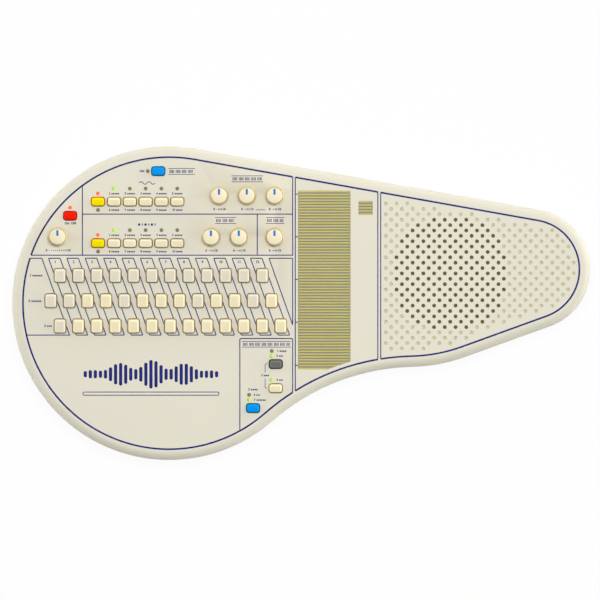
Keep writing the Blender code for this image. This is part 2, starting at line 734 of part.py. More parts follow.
def make_function_buttons():
    sections = cap_sections(FUNCTION_WIDTH, FUNCTION_DEPTH, FUNCTION_CORNER, FUNCTION_HEIGHT)
    mesh = loft_mesh("function_cap", sections)
    mesh.materials.append(MATERIALS["cream"])
    for name, (x, y, colour) in SINGLE_BUTTONS.items():
        place_button(name, mesh, (x, y), colour)
    for name, row_y in (("voice_select_button", VOICE_ROW_Y), ("pattern_select_button", PATTERN_ROW_Y)):
        place_button(name, mesh, (ROW_LEFT_X, row_y), "yellow")


def make_button_bank(name, row_y):
    """Five cream caps moulded on one rail, which slides as a single piece under the panel."""
    places = row_places(row_y)
    middle = ((places[0][0] + places[-1][0]) / 2, row_y)
    half_length = (places[-1][0] - places[0][0] + FUNCTION_WIDTH) / 2 + BANK_RAIL_MARGIN
    half_depth = FUNCTION_DEPTH / 2 + CAP_SKIRT_FLARE
    neck = -(WALL + REST_GAP)
    rail = rectangle(-half_length, half_length, -half_depth, half_depth)
    bank = prism(name, [rail], neck - CAP_SKIRT_HEIGHT, neck, PARTS)
    bank.location = (*middle, PANEL_Z)
    for number, (x, y) in enumerate(places, 1):
        centre = (x - middle[0], y - middle[1])
        sections = cap_sections(
            FUNCTION_WIDTH, FUNCTION_DEPTH, FUNCTION_CORNER, FUNCTION_HEIGHT, centre, with_skirt=False
        )
        tool_name = f"{name}_cap_{number}"
        cap = adopt(tool_name, loft_mesh(tool_name, sections), CUTTERS)
        cap.location = bank.location
        join(bank, cap)
    finish(bank, "cream")


def make_knobs():
    """Turned knobs with a bore for the shaft and a slot for the pointer, which faces +Y at rest."""
    bore = SHAFT_RADIUS + REST_GAP
    profile = [
        (0.0, KNOB_HEIGHT),
        (KNOB_TOP_RADIUS, KNOB_HEIGHT),
        (KNOB_SHOULDER_RADIUS, KNOB_HEIGHT - KNOB_SHOULDER_HEIGHT),
        (KNOB_BASE_RADIUS, 0.0),
        (bore, 0.0),
        (bore, KNOB_BORE_DEPTH),
        (0.0, KNOB_BORE_DEPTH),
    ]
    far = KNOB_TOP_RADIUS - KNOB_SHOULDER_HEIGHT
    slot = rectangle(-POINTER_WIDTH / 2, POINTER_WIDTH / 2, far - POINTER_LENGTH, far)
    for name, (x, y) in KNOBS.items():
        knob = turned(name, profile, KNOB_SIDES, PARTS)
        knob.location = (x, y, KNOB_BOTTOM_Z)
        tool = prism(name + "_slot", [slot], KNOB_HEIGHT - POINTER_DEPTH, KNOB_HEIGHT + POINTER_DEPTH)
        tool.location = knob.location
        cut(knob, tool)
        finish(knob, "knob_cream")


def make_strum_plate():
    """Board under the panel whose two strip fields stand up in the windows, with grooves between strips."""
    top = CEILING_Z - REST_GAP
    face = PANEL_Z - STRUM_SUNK
    board_low = top - STRUM_BOARD_THICKNESS
    plate = prism("strum_plate", [strum_outline(STRUM_BOARD_MARGIN)], board_low, top, PARTS)
    pad_right = PAD_LEFT_X + PAD_WIDTH + STRUM_BOARD_MARGIN
    pad_near = PAD_FAR_Y - (PAD_COUNT - 1) * PAD_PITCH - STRIP_WIDTH - STRUM_BOARD_MARGIN
    arm = rectangle(STRUM_LEFT_X + STRUM_WIDTH, pad_right, pad_near, PAD_FAR_Y + STRUM_BOARD_MARGIN)
    join(plate, prism("pad_board", [arm], board_low, top))
    join(plate, prism("strip_fields", [strum_outline(0.0), pad_outline(0.0)], top - SEAT_OVERLAP, face))
    fields = (
        (STRUM_LEFT_X, STRUM_WIDTH, STRUM_FAR_Y, STRIP_PITCH, STRIP_COUNT),
        (PAD_LEFT_X, PAD_WIDTH, PAD_FAR_Y, PAD_PITCH, PAD_COUNT),
    )
    grooves = []
    for left, width, far, pitch, count in fields:
        for i in range(count - 1):
            low = far - (i + 1) * pitch
            high = far - i * pitch - STRIP_WIDTH
            grooves.append(rectangle(left - REST_GAP, left + width + REST_GAP, low, high))
    cut(plate, prism("strip_grooves", grooves, face - STRIP_HEIGHT, face + STRIP_HEIGHT))
    finish(plate, "strip_gold")


def make_speaker():
    """Loudspeaker that faces up under the grille: flange, surround, cone, dust cap, basket and magnet."""
    face = CEILING_Z - REST_GAP
    flange = face - SPEAKER_FLANGE_THICKNESS
    surround_outer = SPEAKER_RADIUS - SPEAKER_FLANGE_WIDTH
    cone_outer = surround_outer - SPEAKER_SURROUND_WIDTH
    cone_foot = face - SPEAKER_CONE_DEPTH
    basket_foot = cone_foot - SPEAKER_BASKET_WALL
    shoulder_radius, shoulder_rise = SPEAKER_DUST_CAP_SHOULDER
    profile = [
        (0.0, cone_foot + SPEAKER_DUST_CAP_RISE),
        (shoulder_radius, cone_foot + shoulder_rise),
        (SPEAKER_DUST_CAP_RADIUS, cone_foot),
        (cone_outer, flange),
        ((cone_outer + surround_outer) / 2, face - REST_GAP),
        (surround_outer, flange),
        (surround_outer, face),
        (SPEAKER_RADIUS, face),
        (SPEAKER_RADIUS, flange),
        (surround_outer, flange - SPEAKER_BASKET_WALL),
        (SPEAKER_MAGNET_RADIUS, basket_foot),
        (SPEAKER_MAGNET_RADIUS, basket_foot - SPEAKER_MAGNET_THICKNESS),
        (0.0, basket_foot - SPEAKER_MAGNET_THICKNESS),
    ]
    speaker = turned("speaker", profile, SPEAKER_SIDES, PARTS)
    speaker.location = (SPEAKER_X, SPEAKER_Y, 0.0)
    finish(speaker, "speaker_black")


def make_control_board():
    """Circuit board with the potentiometers, the contact mat, the switches, the lights and the jacks."""
    board = prism("control_board", [housing_outline(BOARD_INSET)], BOARD_BOTTOM_Z, BOARD_TOP_Z, PARTS)
    far = BIG_END_Y + BIG_END_RADIUS
    left = BIG_END_X - BIG_END_RADIUS
    trim = rectangle(left, BOARD_RIGHT_X, BOARD_NEAR_Y, far)
    combine(board, "INTERSECT", prism("board_trim", [trim], 0.0, PANEL_Z))
    sunk = BOARD_TOP_Z - SEAT_OVERLAP
    pots = [square(place, POT_WIDTH) for place in KNOBS.values()]
    join(board, prism("pots", pots, sunk, CEILING_Z - REST_GAP))
    shafts = [polygon(place, SHAFT_RADIUS, SHAFT_SIDES) for place in KNOBS.values()]
    shaft_top = KNOB_BOTTOM_Z + KNOB_BORE_DEPTH - REST_GAP
    join(board, prism("pot_shafts", shafts, CEILING_Z - 2 * REST_GAP, shaft_top))
    places = [place for _, _, _, place in chord_places()]
    reach_x = CHORD_WIDTH / 2 + CAP_SKIRT_FLARE
    reach_y = CHORD_DEPTH / 2 + CAP_SKIRT_FLARE
    mat = rectangle(
        min(x for x, _ in places) - reach_x,
        max(x for x, _ in places) + reach_x,
        min(y for _, y in places) - reach_y,
        max(y for _, y in places) + reach_y,
    )
    join(board, prism("contact_mat", [mat], sunk, BOARD_TOP_Z + MAT_THICKNESS))
    switches = [square(place[:2], SWITCH_WIDTH) for place in SINGLE_BUTTONS.values()]
    switches += [switch_bar(row_y) for row_y in (VOICE_ROW_Y, PATTERN_ROW_Y)]
    switch_top = SKIRT_BOTTOM_Z - FUNCTION_TRAVEL - REST_GAP
    join(board, prism("switches", switches, sunk, switch_top))
    lights = [polygon(place, LIGHT_RADIUS, LIGHT_SIDES) for place in light_places()]
    join(board, prism("lights", lights, sunk, PANEL_Z + LIGHT_PROUD))
    wall_y = min(y for _, y in jack_places()) - WALL
    front = wall_y - JACK_SETBACK
    bodies = [
        rectangle(x - JACK_WIDTH / 2, x + JACK_WIDTH / 2, front - JACK_LENGTH, front)
        for x, _ in jack_places()
    ]
    jack_low = BOARD_BOTTOM_Z - JACK_HEIGHT
    join(board, prism("jack_bodies", bodies, jack_low, BOARD_BOTTOM_Z + SEAT_OVERLAP))
    noses = [(x, JACK_Z, front - SEAT_OVERLAP, y) for x, y in jack_places()]
    join(board, rods_along_y("jack_noses", noses, JACK_NOSE_RADIUS, JACK_SIDES))
    bores = [(x, JACK_Z, y - JACK_BORE_DEPTH, y + WALL) for x, y in jack_places()]
    cut(board, rods_along_y("jack_bores", bores, JACK_BORE_RADIUS, JACK_SIDES))
    finish(board, "board_green")


def switch_bar(row_y):
    """The row of switches under one select button and its bank, as one bar."""
    half = SWITCH_WIDTH / 2
    return rectangle(ROW_LEFT_X - half, row_places(row_y)[-1][0] + half, row_y - half, row_y + half)


make_top_case()
make_bottom_case()
make_battery_door()
make_control_board()
make_strum_plate()
make_speaker()
make_chord_buttons()
make_function_buttons()
make_button_bank("voice_button_bank", VOICE_ROW_Y)
make_button_bank("pattern_button_bank", PATTERN_ROW_Y)
make_knobs()
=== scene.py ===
import itertools
import math

import bmesh
import bpy
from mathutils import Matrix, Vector, geometry


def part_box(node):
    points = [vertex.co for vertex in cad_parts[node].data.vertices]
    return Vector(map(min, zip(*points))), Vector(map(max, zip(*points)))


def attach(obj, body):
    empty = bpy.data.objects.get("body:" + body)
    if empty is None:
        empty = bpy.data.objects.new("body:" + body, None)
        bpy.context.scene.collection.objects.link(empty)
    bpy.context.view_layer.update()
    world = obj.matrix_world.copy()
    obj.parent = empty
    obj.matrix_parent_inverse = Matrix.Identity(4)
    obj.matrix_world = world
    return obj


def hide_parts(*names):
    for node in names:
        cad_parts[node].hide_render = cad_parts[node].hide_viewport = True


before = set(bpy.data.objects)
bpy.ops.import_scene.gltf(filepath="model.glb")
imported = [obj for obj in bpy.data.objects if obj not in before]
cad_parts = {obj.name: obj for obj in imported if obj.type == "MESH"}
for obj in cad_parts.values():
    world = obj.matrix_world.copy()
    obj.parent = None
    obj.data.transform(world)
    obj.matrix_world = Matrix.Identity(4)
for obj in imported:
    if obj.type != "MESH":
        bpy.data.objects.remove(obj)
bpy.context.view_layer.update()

# The studio. The camera hangs straight above on a long lens, over a plain pale floor that only
# keeps the shadow. The white tent is bright only low down, most of all at the left and right and
# least on the near side, and one soft lamp hangs nearly overhead, a little to the far side.
MM = 0.001
bpy.context.scene.view_settings.view_transform = "Standard"


class Wire:
    """A socket in a node tree. Arithmetic on it adds Math nodes, and node() adds any other."""

    def __init__(self, tree, socket=None):
        self.tree = tree
        self.socket = socket

    def node(self, kind, settings=None, sockets=None, output=0):
        made = self.tree.nodes.new("ShaderNode" + kind)
        for key, value in (settings or {}).items():
            setattr(made, key, value)
        for key, value in (sockets or {}).items():
            if isinstance(value, Wire):
                self.tree.links.new(value.socket, made.inputs[key])
            else:
                made.inputs[key].default_value = value
        return Wire(self.tree, made.outputs[output] if made.outputs else None)

    def maths(self, operation, *values):
        return self.node("Math", {"operation": operation}, dict(enumerate(values)))

    def __add__(self, other):
        return self.maths("ADD", self, other)

    def __radd__(self, other):
        return self.maths("ADD", other, self)

    def __sub__(self, other):
        return self.maths("SUBTRACT", self, other)

    def __rsub__(self, other):
        return self.maths("SUBTRACT", other, self)

    def __mul__(self, other):
        return self.maths("MULTIPLY", self, other)

    def __rmul__(self, other):
        return self.maths("MULTIPLY", other, self)


def shade(red, green, blue):
    """A screen colour, as the linear colour that a shader takes."""
    steps = [value / 255 for value in (red, green, blue)]
    return (*[s / 12.92 if s <= 0.04045 else ((s + 0.055) / 1.055) ** 2.4 for s in steps], 1.0)


def empty_tree(owner):
    owner.use_nodes = True
    owner.node_tree.nodes.clear()
    return Wire(owner.node_tree)


def seen_directly(start):
    """1 where a ray comes from the camera, or from a gloss or glass that shows the backdrop."""
    kinds = ("Is Camera Ray", "Is Glossy Ray", "Is Transmission Ray")
    by_camera, by_gloss, by_glass = [start.node("LightPath", output=kind) for kind in kinds]
    return start.maths("MAXIMUM", by_camera, start.maths("MAXIMUM", by_gloss, by_glass))


def axis_of(vector, axis):
    return vector.node("SeparateXYZ", None, {"Vector": vector}, output=axis)


def mesh_from(name, bm):
    """Turns mesh work into a mesh, and lets the work go."""
    mesh = bpy.data.meshes.new(name)
    bm.to_mesh(mesh)
    bm.free()
    return mesh


WHITE = (1.0, 1.0, 1.0, 1.0)
SIDE_GLOW, RIGHT_GLOW, FAR_GLOW, EVEN_GLOW, LEAST_GLOW = 5.6, 1.35, 3.4, 3.05, 0.03
world = bpy.data.worlds.new("sky")
bpy.context.scene.world = world
sky = empty_tree(world)
toward = sky.node("TexCoord", output="Generated")
across, along, up = [axis_of(toward, axis) for axis in "XYZ"]
low = 1.0 - up.maths("ABSOLUTE", up)
from_sides = (
    (across * across - along * along) * SIDE_GLOW + across * RIGHT_GLOW + along * FAR_GLOW + EVEN_GLOW)
lit_sky = low.maths("MAXIMUM", low * low * low * low * from_sides, 0.0) + LEAST_GLOW
strength = lit_sky + seen_directly(sky) * (1.0 - lit_sky)
glow = sky.node("Background", None, {"Color": WHITE, "Strength": strength})
sky.node("OutputWorld", None, {"Surface": glow})

camera_data = bpy.data.cameras.new("camera")
camera_data.lens = 1000.0
camera_data.sensor_width = 36.0
camera_data.clip_end = 120.0
camera = bpy.data.objects.new("camera", camera_data)
VIEW_X, VIEW_Y, VIEW_WIDTH = -1.2 * MM, 3.2 * MM, 603.6 * MM
PANEL_Z = 46.0
CAMERA_RISE = VIEW_WIDTH * camera_data.lens / camera_data.sensor_width
camera.location = (VIEW_X, VIEW_Y, PANEL_Z * MM + CAMERA_RISE)
bpy.context.scene.collection.objects.link(camera)
bpy.context.scene.camera = camera

lamp_data = bpy.data.lights.new("softbox", "AREA")
lamp_data.shape = "RECTANGLE"
lamp_data.size = 0.7
lamp_data.size_y = 0.6
lamp_data.energy = 37.6
lamp = bpy.data.objects.new("softbox", lamp_data)
LAMP_PLACE, LAMP_AIM = (0.05, 0.35, 2.4), Vector((0.0, 0.0, 0.05))
lamp.location = LAMP_PLACE
lamp.rotation_mode = "QUATERNION"
lamp.rotation_quaternion = (LAMP_AIM - lamp.location).to_track_quat("-Z", "Y")
bpy.context.scene.collection.objects.link(lamp)

FLOOR_REACH, FLOOR_DROP = 12.0, 0.2 * MM
FLOOR_TONE, FLOOR_GLOW = 0.95, 0.95
floor_bm = bmesh.new()
bmesh.ops.create_circle(floor_bm, cap_ends=True, segments=64, radius=FLOOR_REACH)
floor_mesh = mesh_from("floor", floor_bm)
floor = bpy.data.objects.new("floor", floor_mesh)
floor.location = (0.0, 0.0, -FLOOR_DROP)
bpy.context.scene.collection.objects.link(floor)
floor_finish = bpy.data.materials.new("floor_paper")
paper = empty_tree(floor_finish)
matt = paper.node("BsdfDiffuse", None, {"Color": (FLOOR_TONE, FLOOR_TONE, FLOOR_TONE, 1.0)})
white = paper.node("Emission", None, {"Color": WHITE, "Strength": 1.0})
lit = paper.node("MixShader", None, {0: seen_directly(paper) * FLOOR_GLOW, 1: matt, 2: white})
paper.node("OutputMaterial", None, {"Surface": lit})
floor_mesh.materials.append(floor_finish)


# Upper case half. One injection-moulded shell in ivory plastic: a flat panel with a rounded rim,
# openings for the buttons, shafts and lights, two windows for the strum plate, and the grille.
# It is screwed to the lower half from below.
WALL = 2.5
RIM_RADIUS = 8.0
PARTING_Z = 22.0
HALF_SEAM = 0.15
CEILING_Z = PANEL_Z - WALL
BIG_END = (-133.0, 0.0, 158.0)
SMALL_END = (230.0, 34.0, 61.0)
HIP_RADIUS, HIP_LENGTH = 171.0, 90.6
WAIST_RADIUS = 221.0
NEAR_EDGE_TILT = math.radians(19.9)


def off(centre, reach, turn):
    """The spot at a reach from a centre, in a direction."""
    return centre[0] + reach * math.cos(turn), centre[1] + reach * math.sin(turn)


def arc(centre, radius, start, end, step=math.radians(2.0)):
    """Points along an arc in millimetres, both ends included."""
    count = max(1, math.ceil(abs(end - start) / step))
    return [off(centre, radius, start + (end - start) * i / count) for i in range(count + 1)]


def circle(centre, radius, sides=12):
    step = math.tau / sides
    return arc(centre, radius, step / 2, math.tau - step / 2, step * 1.001)


def rectangle(left, right, near, far):
    return [(left, near), (right, near), (right, far), (left, far)]


def rounded(centre, width, depth, corner, steps=4):
    """A rectangle with rounded corners."""
    outline = []
    for quarter in range(4):
        across = (width / 2 - corner) * (1 if quarter in (0, 3) else -1)
        along = (depth / 2 - corner) * (1 if quarter in (0, 1) else -1)
        start = quarter * math.pi / 2
        middle = (centre[0] + across, centre[1] + along)
        outline += arc(middle, corner, start, start + math.pi / 2, math.pi / 2 / steps * 1.001)
    return outline


def hip_and_waist():
    """Where the centres of the two arcs of the near edge lie."""
    normal = (math.sin(NEAR_EDGE_TILT), -math.cos(NEAR_EDGE_TILT))
    along = (-math.cos(NEAR_EDGE_TILT), -math.sin(NEAR_EDGE_TILT))
    step_in = SMALL_END[2] - HIP_RADIUS
    hip = [SMALL_END[i] + HIP_LENGTH * along[i] + step_in * normal[i] for i in (0, 1)]
    reach_big = BIG_END[2] + WAIST_RADIUS
    reach_hip = HIP_RADIUS + WAIST_RADIUS
    across = (hip[0] - BIG_END[0], hip[1] - BIG_END[1])
    span = math.hypot(*across)
    base = (reach_big**2 - reach_hip**2 + span**2) / (2 * span)
    rise = math.sqrt(reach_big**2 - base**2)
    unit = (across[0] / span, across[1] / span)
    waist = (BIG_END[0] + base * unit[0] + rise * unit[1], BIG_END[1] + base * unit[1] - rise * unit[0])
    return hip, waist


def far_turn():
    """Direction in which the straight far edge touches both round ends."""
    across = (SMALL_END[0] - BIG_END[0], SMALL_END[1] - BIG_END[1])
    return math.atan2(across[1], across[0]) + math.acos((BIG_END[2] - SMALL_END[2]) / math.hypot(*across))


def housing(inset):
    """The housing's outline from above, anticlockwise, drawn in all round by the inset."""
    hip, waist = hip_and_waist()
    to_waist = math.atan2(waist[1] - BIG_END[1], waist[0] - BIG_END[0]) + math.tau
    to_hip = math.atan2(hip[1] - waist[1], hip[0] - waist[0])
    near = NEAR_EDGE_TILT - math.pi / 2
    points = arc(BIG_END, BIG_END[2] - inset, far_turn(), to_waist)
    points += arc(waist, WAIST_RADIUS + inset, to_waist - math.pi, to_hip)[1:]
    points += arc(hip, HIP_RADIUS - inset, to_hip - math.pi, near)[1:]
    points += arc(SMALL_END, SMALL_END[2] - inset, near, far_turn(), math.radians(4.0))
    return points


def ring(bm, outline, height):
    return [bm.verts.new((x * MM, y * MM, height * MM)) for x, y in outline]


def bands(bm, rings):
    """Joins each ring of points to the next one with a band of faces, and returns the last ring."""
    for first, second in zip(rings, rings[1:]):
        for i in range(len(first)):
            j = (i + 1) % len(first)
            bm.faces.new((first[i], first[j], second[j], second[i]))
    return rings[-1]


def level(bm, loops):
    """Fills the level space between an outer loop of points and the loops of the holes in it."""
    points = [point for loop in loops for point in loop]
    numbers = iter(range(len(points)))
    outlines = [[next(numbers) for _ in loop] for loop in loops]
    flat = [Vector((p.co.x, p.co.y)) for p in points]
    filled = geometry.delaunay_2d_cdt(flat, [], outlines, 2, 1e-8)
    for face in filled[2]:
        bm.faces.new([points[filled[3][i][0]] for i in face])


def well(bm, outlines, heights):
    """An opening through the rings of these outlines, from its mouth down. Returns mouth and foot."""
    rings = [ring(bm, outline, height) for outline, height in zip(outlines, heights)]
    bands(bm, rings)
    return rings[0], rings[-1]


def pocket(bm, outlines, heights):
    """A well that is closed at its foot. Returns its mouth."""
    mouth, foot = well(bm, outlines, heights)
    bm.faces.new(foot)
    return mouth


def shell(bm, rings):
    """A wall that follows the housing, through (inset, height) pairs. Returns its last ring."""
    return bands(bm, [ring(bm, housing(inset), height) for inset, height in rings])


def smooth_mesh(name, bm, turn):
    """Turns mesh work into a smooth mesh, with an edge where its faces turn by more degrees."""
    bmesh.ops.recalc_face_normals(bm, faces=bm.faces)
    mesh = mesh_from(name, bm)
    mesh.shade_smooth()
    mesh.set_sharp_from_angle(angle=math.radians(turn))
    return mesh


def settle(name, mesh, finish, body, nodes=(), place=(0.0, 0.0, 0.0)):
    """Sets a mesh in its place, gives it its finish, and says what it rides on and stands for."""
    made = bpy.data.objects.new(name, mesh)
    made.location = place
    bpy.context.scene.collection.objects.link(made)
    if not mesh.materials:
        mesh.materials.append(finish)
    made.material_slots[0].link = "OBJECT"
    made.material_slots[0].material = finish
    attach(made, body)
    if nodes:
        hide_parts(*nodes)
    return made


def piece(name, bm, finish, body, nodes=(), turn=30.0):
    """Makes a piece of the object out of mesh work that is drawn in its place."""
    return settle(name, smooth_mesh(name, bm, turn), finish, body, nodes)


def colour_mix(start, factor, first, second):
    """Runs from the first colour to the second as the factor runs from 0 to 1."""
    return start.node("Mix", {"data_type": "RGBA"}, {0: factor, 6: first, 7: second}, output=2)


def noise(spot, scale, detail):
    return spot.node("TexNoise", None, {"Vector": spot, "Scale": scale, "Detail": detail})


def easing(value, first, last):
    """Runs from 0 to 1, with soft ends, as the value runs from the first number to the last."""
    return value.node("MapRange", {"interpolation_type": "SMOOTHSTEP"}, {
        "Value": value, "From Min": first, "From Max": last})


def new_finish(name):
    """A new material, its empty tree, and the coordinates that its patterns go by."""
    finish = bpy.data.materials.new(name)
    start = empty_tree(finish)
    return finish, start, start.node("TexCoord", output="Object")


def close_finish(start, sockets):
    surface = start.node("BsdfPrincipled", None, sockets)
    start.node("OutputMaterial", None, {"Surface": surface})


# How far a surface faces up, from 1 where it is level: where the painted highlight on edges and the painted
# shade on steep walls begin and end, and the rounded rims that the painted shade in recesses leaves out.
HIGHLIGHT_FACING, SHADED_WALL_FACING = (0.998, 0.96), (0.85, 0.45)
RIM_FACING, RIM_SPREAD = 0.90, 0.095
DARKEST, LIGHTEST = 0.94, 1.06


def moulded(
    name, colour, roughness=0.42, side=None, edge=None, foot=None, painted_recess_shade=None, grain=0.9, depth=0.05,
    mottle=0.03, coat=0.0, gloss=0.5
):
    """Moulded plastic: slow drifts in its tone and a fine spark-eroded grain. If they are given, also a
    painted highlight on edges that face nearly up, painted shade on steep walls, deeper low down as if light
    had bounced between wall and panel, and painted shade on ground and walls sunk between two heights, which
    leaves out rounded rims."""
    finish, start, spot = new_finish(name)
    fine = noise(spot, 1000.0 / grain, 2.0)
    tone = ((noise(spot, 14.0, 3.0) - 0.5) + (fine - 0.5)) * (mottle / 0.3) + 0.5
    darker = tuple(value * DARKEST for value in colour[:3]) + (1.0,)
    lighter = tuple(min(1.0, value * LIGHTEST) for value in colour[:3]) + (1.0,)
    body = colour_mix(start, tone, darker, lighter)
    if side or painted_recess_shade:
        facing_up = axis_of(start.node("TexCoord", output="Normal"), "Z")
        height = axis_of(spot, "Z")
    # Painted shade on steep walls, darker low down, and a painted highlight on edges that face nearly up.
    if side:
        painted_shade_tone, low, high = foot
        side = colour_mix(start, easing(height, low * MM, high * MM), painted_shade_tone, side)
        with_painted_highlight = colour_mix(start, easing(facing_up, *HIGHLIGHT_FACING), body, edge)
        body = colour_mix(start, easing(facing_up, *SHADED_WALL_FACING), with_painted_highlight, side)
    # Painted shade on sunk ground and walls, such as dimple floors and the walls of openings.
    if painted_recess_shade:
        low, high, painted_shade_tone = painted_recess_shade
        between = start.maths("GREATER_THAN", height, low * MM) * start.maths("LESS_THAN", height, high * MM)
        rounded_rim = start.maths("COMPARE", facing_up, RIM_FACING, RIM_SPREAD)
        body = colour_mix(start, (1.0 - rounded_rim) * between, body, painted_shade_tone)
    bump = start.node("Bump", None, {"Height": fine, "Strength": 0.35, "Distance": depth * MM})
    close_finish(start, {
        "Base Color": body, "Roughness": (fine - 0.5) * 0.12 + roughness, "Normal": bump,
        "IOR": 1.49, "Specular IOR Level": gloss, "Coat Weight": coat})
    return finish


def middle(node):
    """The middle of a CAD node from above, in millimetres."""
    low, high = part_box(node)
    return (low[0] + high[0]) / 2 / MM, (low[1] + high[1]) / 2 / MM


CHORD_CAP = (12.3, 14.8, 2.6)
FUNCTION_CAP = (13.9, 9.5, 2.8)
PLAY = 0.3
CAP_GAP = 0.24
CHORD_NODES = sorted(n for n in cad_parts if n.startswith("chord_button"))
KNOB_NODES = sorted(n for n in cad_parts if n.endswith("_knob"))
SELECT_NODES = ["voice_select_button", "pattern_select_button"]
FUNCTION_NODES = SELECT_NODES + [
    "power_button", "keyboard_button", "chord_auto_button", "chord_hold_button", "rhythm_start_button"]
BANK_NODES = ["voice_button_bank", "pattern_button_bank"]
BANK_PITCH = 15.9
BANK_STEPS = [(-2 + i) * BANK_PITCH for i in range(5)]


def bank_places(node):
    x, y = middle(node)
    return [(x + step, y) for step in BANK_STEPS]


CAP_PLACES = [middle(node) for node in FUNCTION_NODES]
CAP_PLACES += [spot for node in BANK_NODES for spot in bank_places(node)]
SELECT_LIGHT_RISE, ROW_LIGHT_RISE = 8.3, 13.2
LIGHT_PLACES = [
    (-232.3, 96.2), (-154.4, 132.8), (-29.6, -48.1), (-29.6, -53.0), (-29.6, -77.2), (-52.4, -92.2),
    (-52.4, -97.3)]
for row_node, row_bank in zip(SELECT_NODES, BANK_NODES):
    select_x, select_y = middle(row_node)
    LIGHT_PLACES += [(select_x, select_y + SELECT_LIGHT_RISE), (select_x, select_y - SELECT_LIGHT_RISE)]
    LIGHT_PLACES += [(x, y + ROW_LIGHT_RISE) for x, y in bank_places(row_bank)]

STRIP_LEFT, STRIP_FAR, STRIP_LENGTH, STRIP_PITCH, STRIP_WIDTH = -3.2, 113.0, 52.7, 2.868, 1.6
STRIP_COUNT = 63
STRIP_CUT = (22.8, 8.0)
PAD_LEFT, PAD_FAR, PAD_LENGTH, PAD_PITCH, PAD_COUNT = 57.7, 102.7, 14.1, 3.06, 5
STRIP_RIGHT = STRIP_LEFT + STRIP_LENGTH
STRIP_NEAR = STRIP_FAR - (STRIP_COUNT - 1) * STRIP_PITCH - STRIP_WIDTH
PAD_NEAR = PAD_FAR - (PAD_COUNT - 1) * PAD_PITCH - STRIP_WIDTH


def strum_window(margin):
    lean = math.atan2(STRIP_CUT[1], STRIP_CUT[0])
    cut_x = STRIP_RIGHT - STRIP_CUT[0] + margin * math.tan(lean / 2)
    cut_y = STRIP_NEAR + STRIP_CUT[1] - margin * math.tan((math.pi / 2 - lean) / 2)
    return [
        (STRIP_LEFT - margin, STRIP_FAR + margin), (STRIP_LEFT - margin, STRIP_NEAR - margin),
        (cut_x, STRIP_NEAR - margin), (STRIP_RIGHT + margin, cut_y),
        (STRIP_RIGHT + margin, STRIP_FAR + margin)]


def pad_window(margin):
    return rectangle(PAD_LEFT - margin, PAD_LEFT + PAD_LENGTH + margin, PAD_NEAR - margin, PAD_FAR + margin)


SPEAKER = (149.9, 29.9)
HALF_PITCH = 5.4
OPEN_REACH = 58.9
HOLE_RADIUS = 1.96
# Blind dimples left and right of the open holes, row by row from the far side.
FIRST_ROW, FIRST_COLUMN = 13, -12
DIMPLE_ROWS = (
    (3, 0), (5, 0), (9, 0), (4, 3), (3, 4), (2, 6), (2, 6), (1, 6), (2, 7), (1, 6), (1, 6), (1, 7), (1, 6),
    (1, 7), (1, 6), (1, 6), (1, 6), (1, 6), (2, 6), (1, 5), (2, 4), (2, 3), (3, 2), (4, 2), (9, 0), (8, 0),
    (7, 0), (4, 0))


def open_cells():
    """The column and row of each open hole of the lattice, counted from the speaker's middle."""
    reach = int(OPEN_REACH / HALF_PITCH)
    span = range(-reach, reach + 1)
    return [
        (column, row) for row in span for column in span
        if (row + column) % 2 and math.hypot(column * HALF_PITCH, row * HALF_PITCH) <= OPEN_REACH]


def dimple_cells():
    """The rest of the same lattice, pressed in but not through, out to the printed border."""
    cells = []
    for number, (left, right) in enumerate(DIMPLE_ROWS):
        row = FIRST_ROW - number
        first = FIRST_COLUMN + (row + 1) % 2
        columns = [first + 2 * i for i in range(left)]
        opened = [column for column, at in open_cells() if at == row]
        if opened:
            columns += [max(opened) + 2 + 2 * i for i in range(right)]
        cells += [(column, row) for column in columns]
    return cells


def grille_spot(cell):
    return SPEAKER[0] + cell[0] * HALF_PITCH, SPEAKER[1] + cell[1] * HALF_PITCH


SKIN = 0.2
RIM_STEPS = 12
CHAMFER = 0.12
LIGHT_HOLE, SHAFT_HOLE, WINDOW_EDGE = (1.98, 1.86, 1.86), (3.8, 3.6, 3.6), (0.15, 0.05, 0.05)
DIMPLE = ((1.98, 0.0), (1.90, 0.06), (1.40, 1.10), (1.26, 1.24))
upper = bmesh.new()
seam_high = PARTING_Z + HALF_SEAM
outer = [(WALL, seam_high), (SKIN + 0.5, seam_high), (SKIN, PARTING_Z + 0.5)]
for step in range(RIM_STEPS + 1):
    turn = math.pi / 2 * step / RIM_STEPS
    outer.append((SKIN + RIM_RADIUS * (1 - math.cos(turn)), PANEL_Z - RIM_RADIUS * (1 - math.sin(turn))))
outer.append((RIM_RADIUS + 1.0, PANEL_Z))
rim = shell(upper, outer)
ceiling = shell(upper, [(WALL, seam_high), (WALL, CEILING_Z - 5.5), (RIM_RADIUS, CEILING_Z)])
openings = []
for cell in open_cells():
    openings.append([circle(grille_spot(cell), HOLE_RADIUS + wider) for wider in (0.06, 0.0, 0.0)])
for spot in LIGHT_PLACES:
    openings.append([circle(spot, radius, 20) for radius in LIGHT_HOLE])
for node in KNOB_NODES:
    openings.append([circle(middle(node), radius, 24) for radius in SHAFT_HOLE])
caps = [(middle(node), CHORD_CAP) for node in CHORD_NODES] + [(spot, FUNCTION_CAP) for spot in CAP_PLACES]
for centre, (width, depth, corner) in caps:
    openings.append([
        rounded(centre, width + 2 * play, depth + 2 * play, corner + play)
        for play in (CAP_GAP + CHAMFER, CAP_GAP, CAP_GAP)])
for window in (strum_window, pad_window):
    openings.append([window(margin) for margin in WINDOW_EDGE])
mouths, feet = [], []
for outlines in openings:
    mouth, foot = well(upper, outlines, (PANEL_Z, PANEL_Z - CHAMFER, CEILING_Z))
    mouths.append(mouth)
    feet.append(foot)
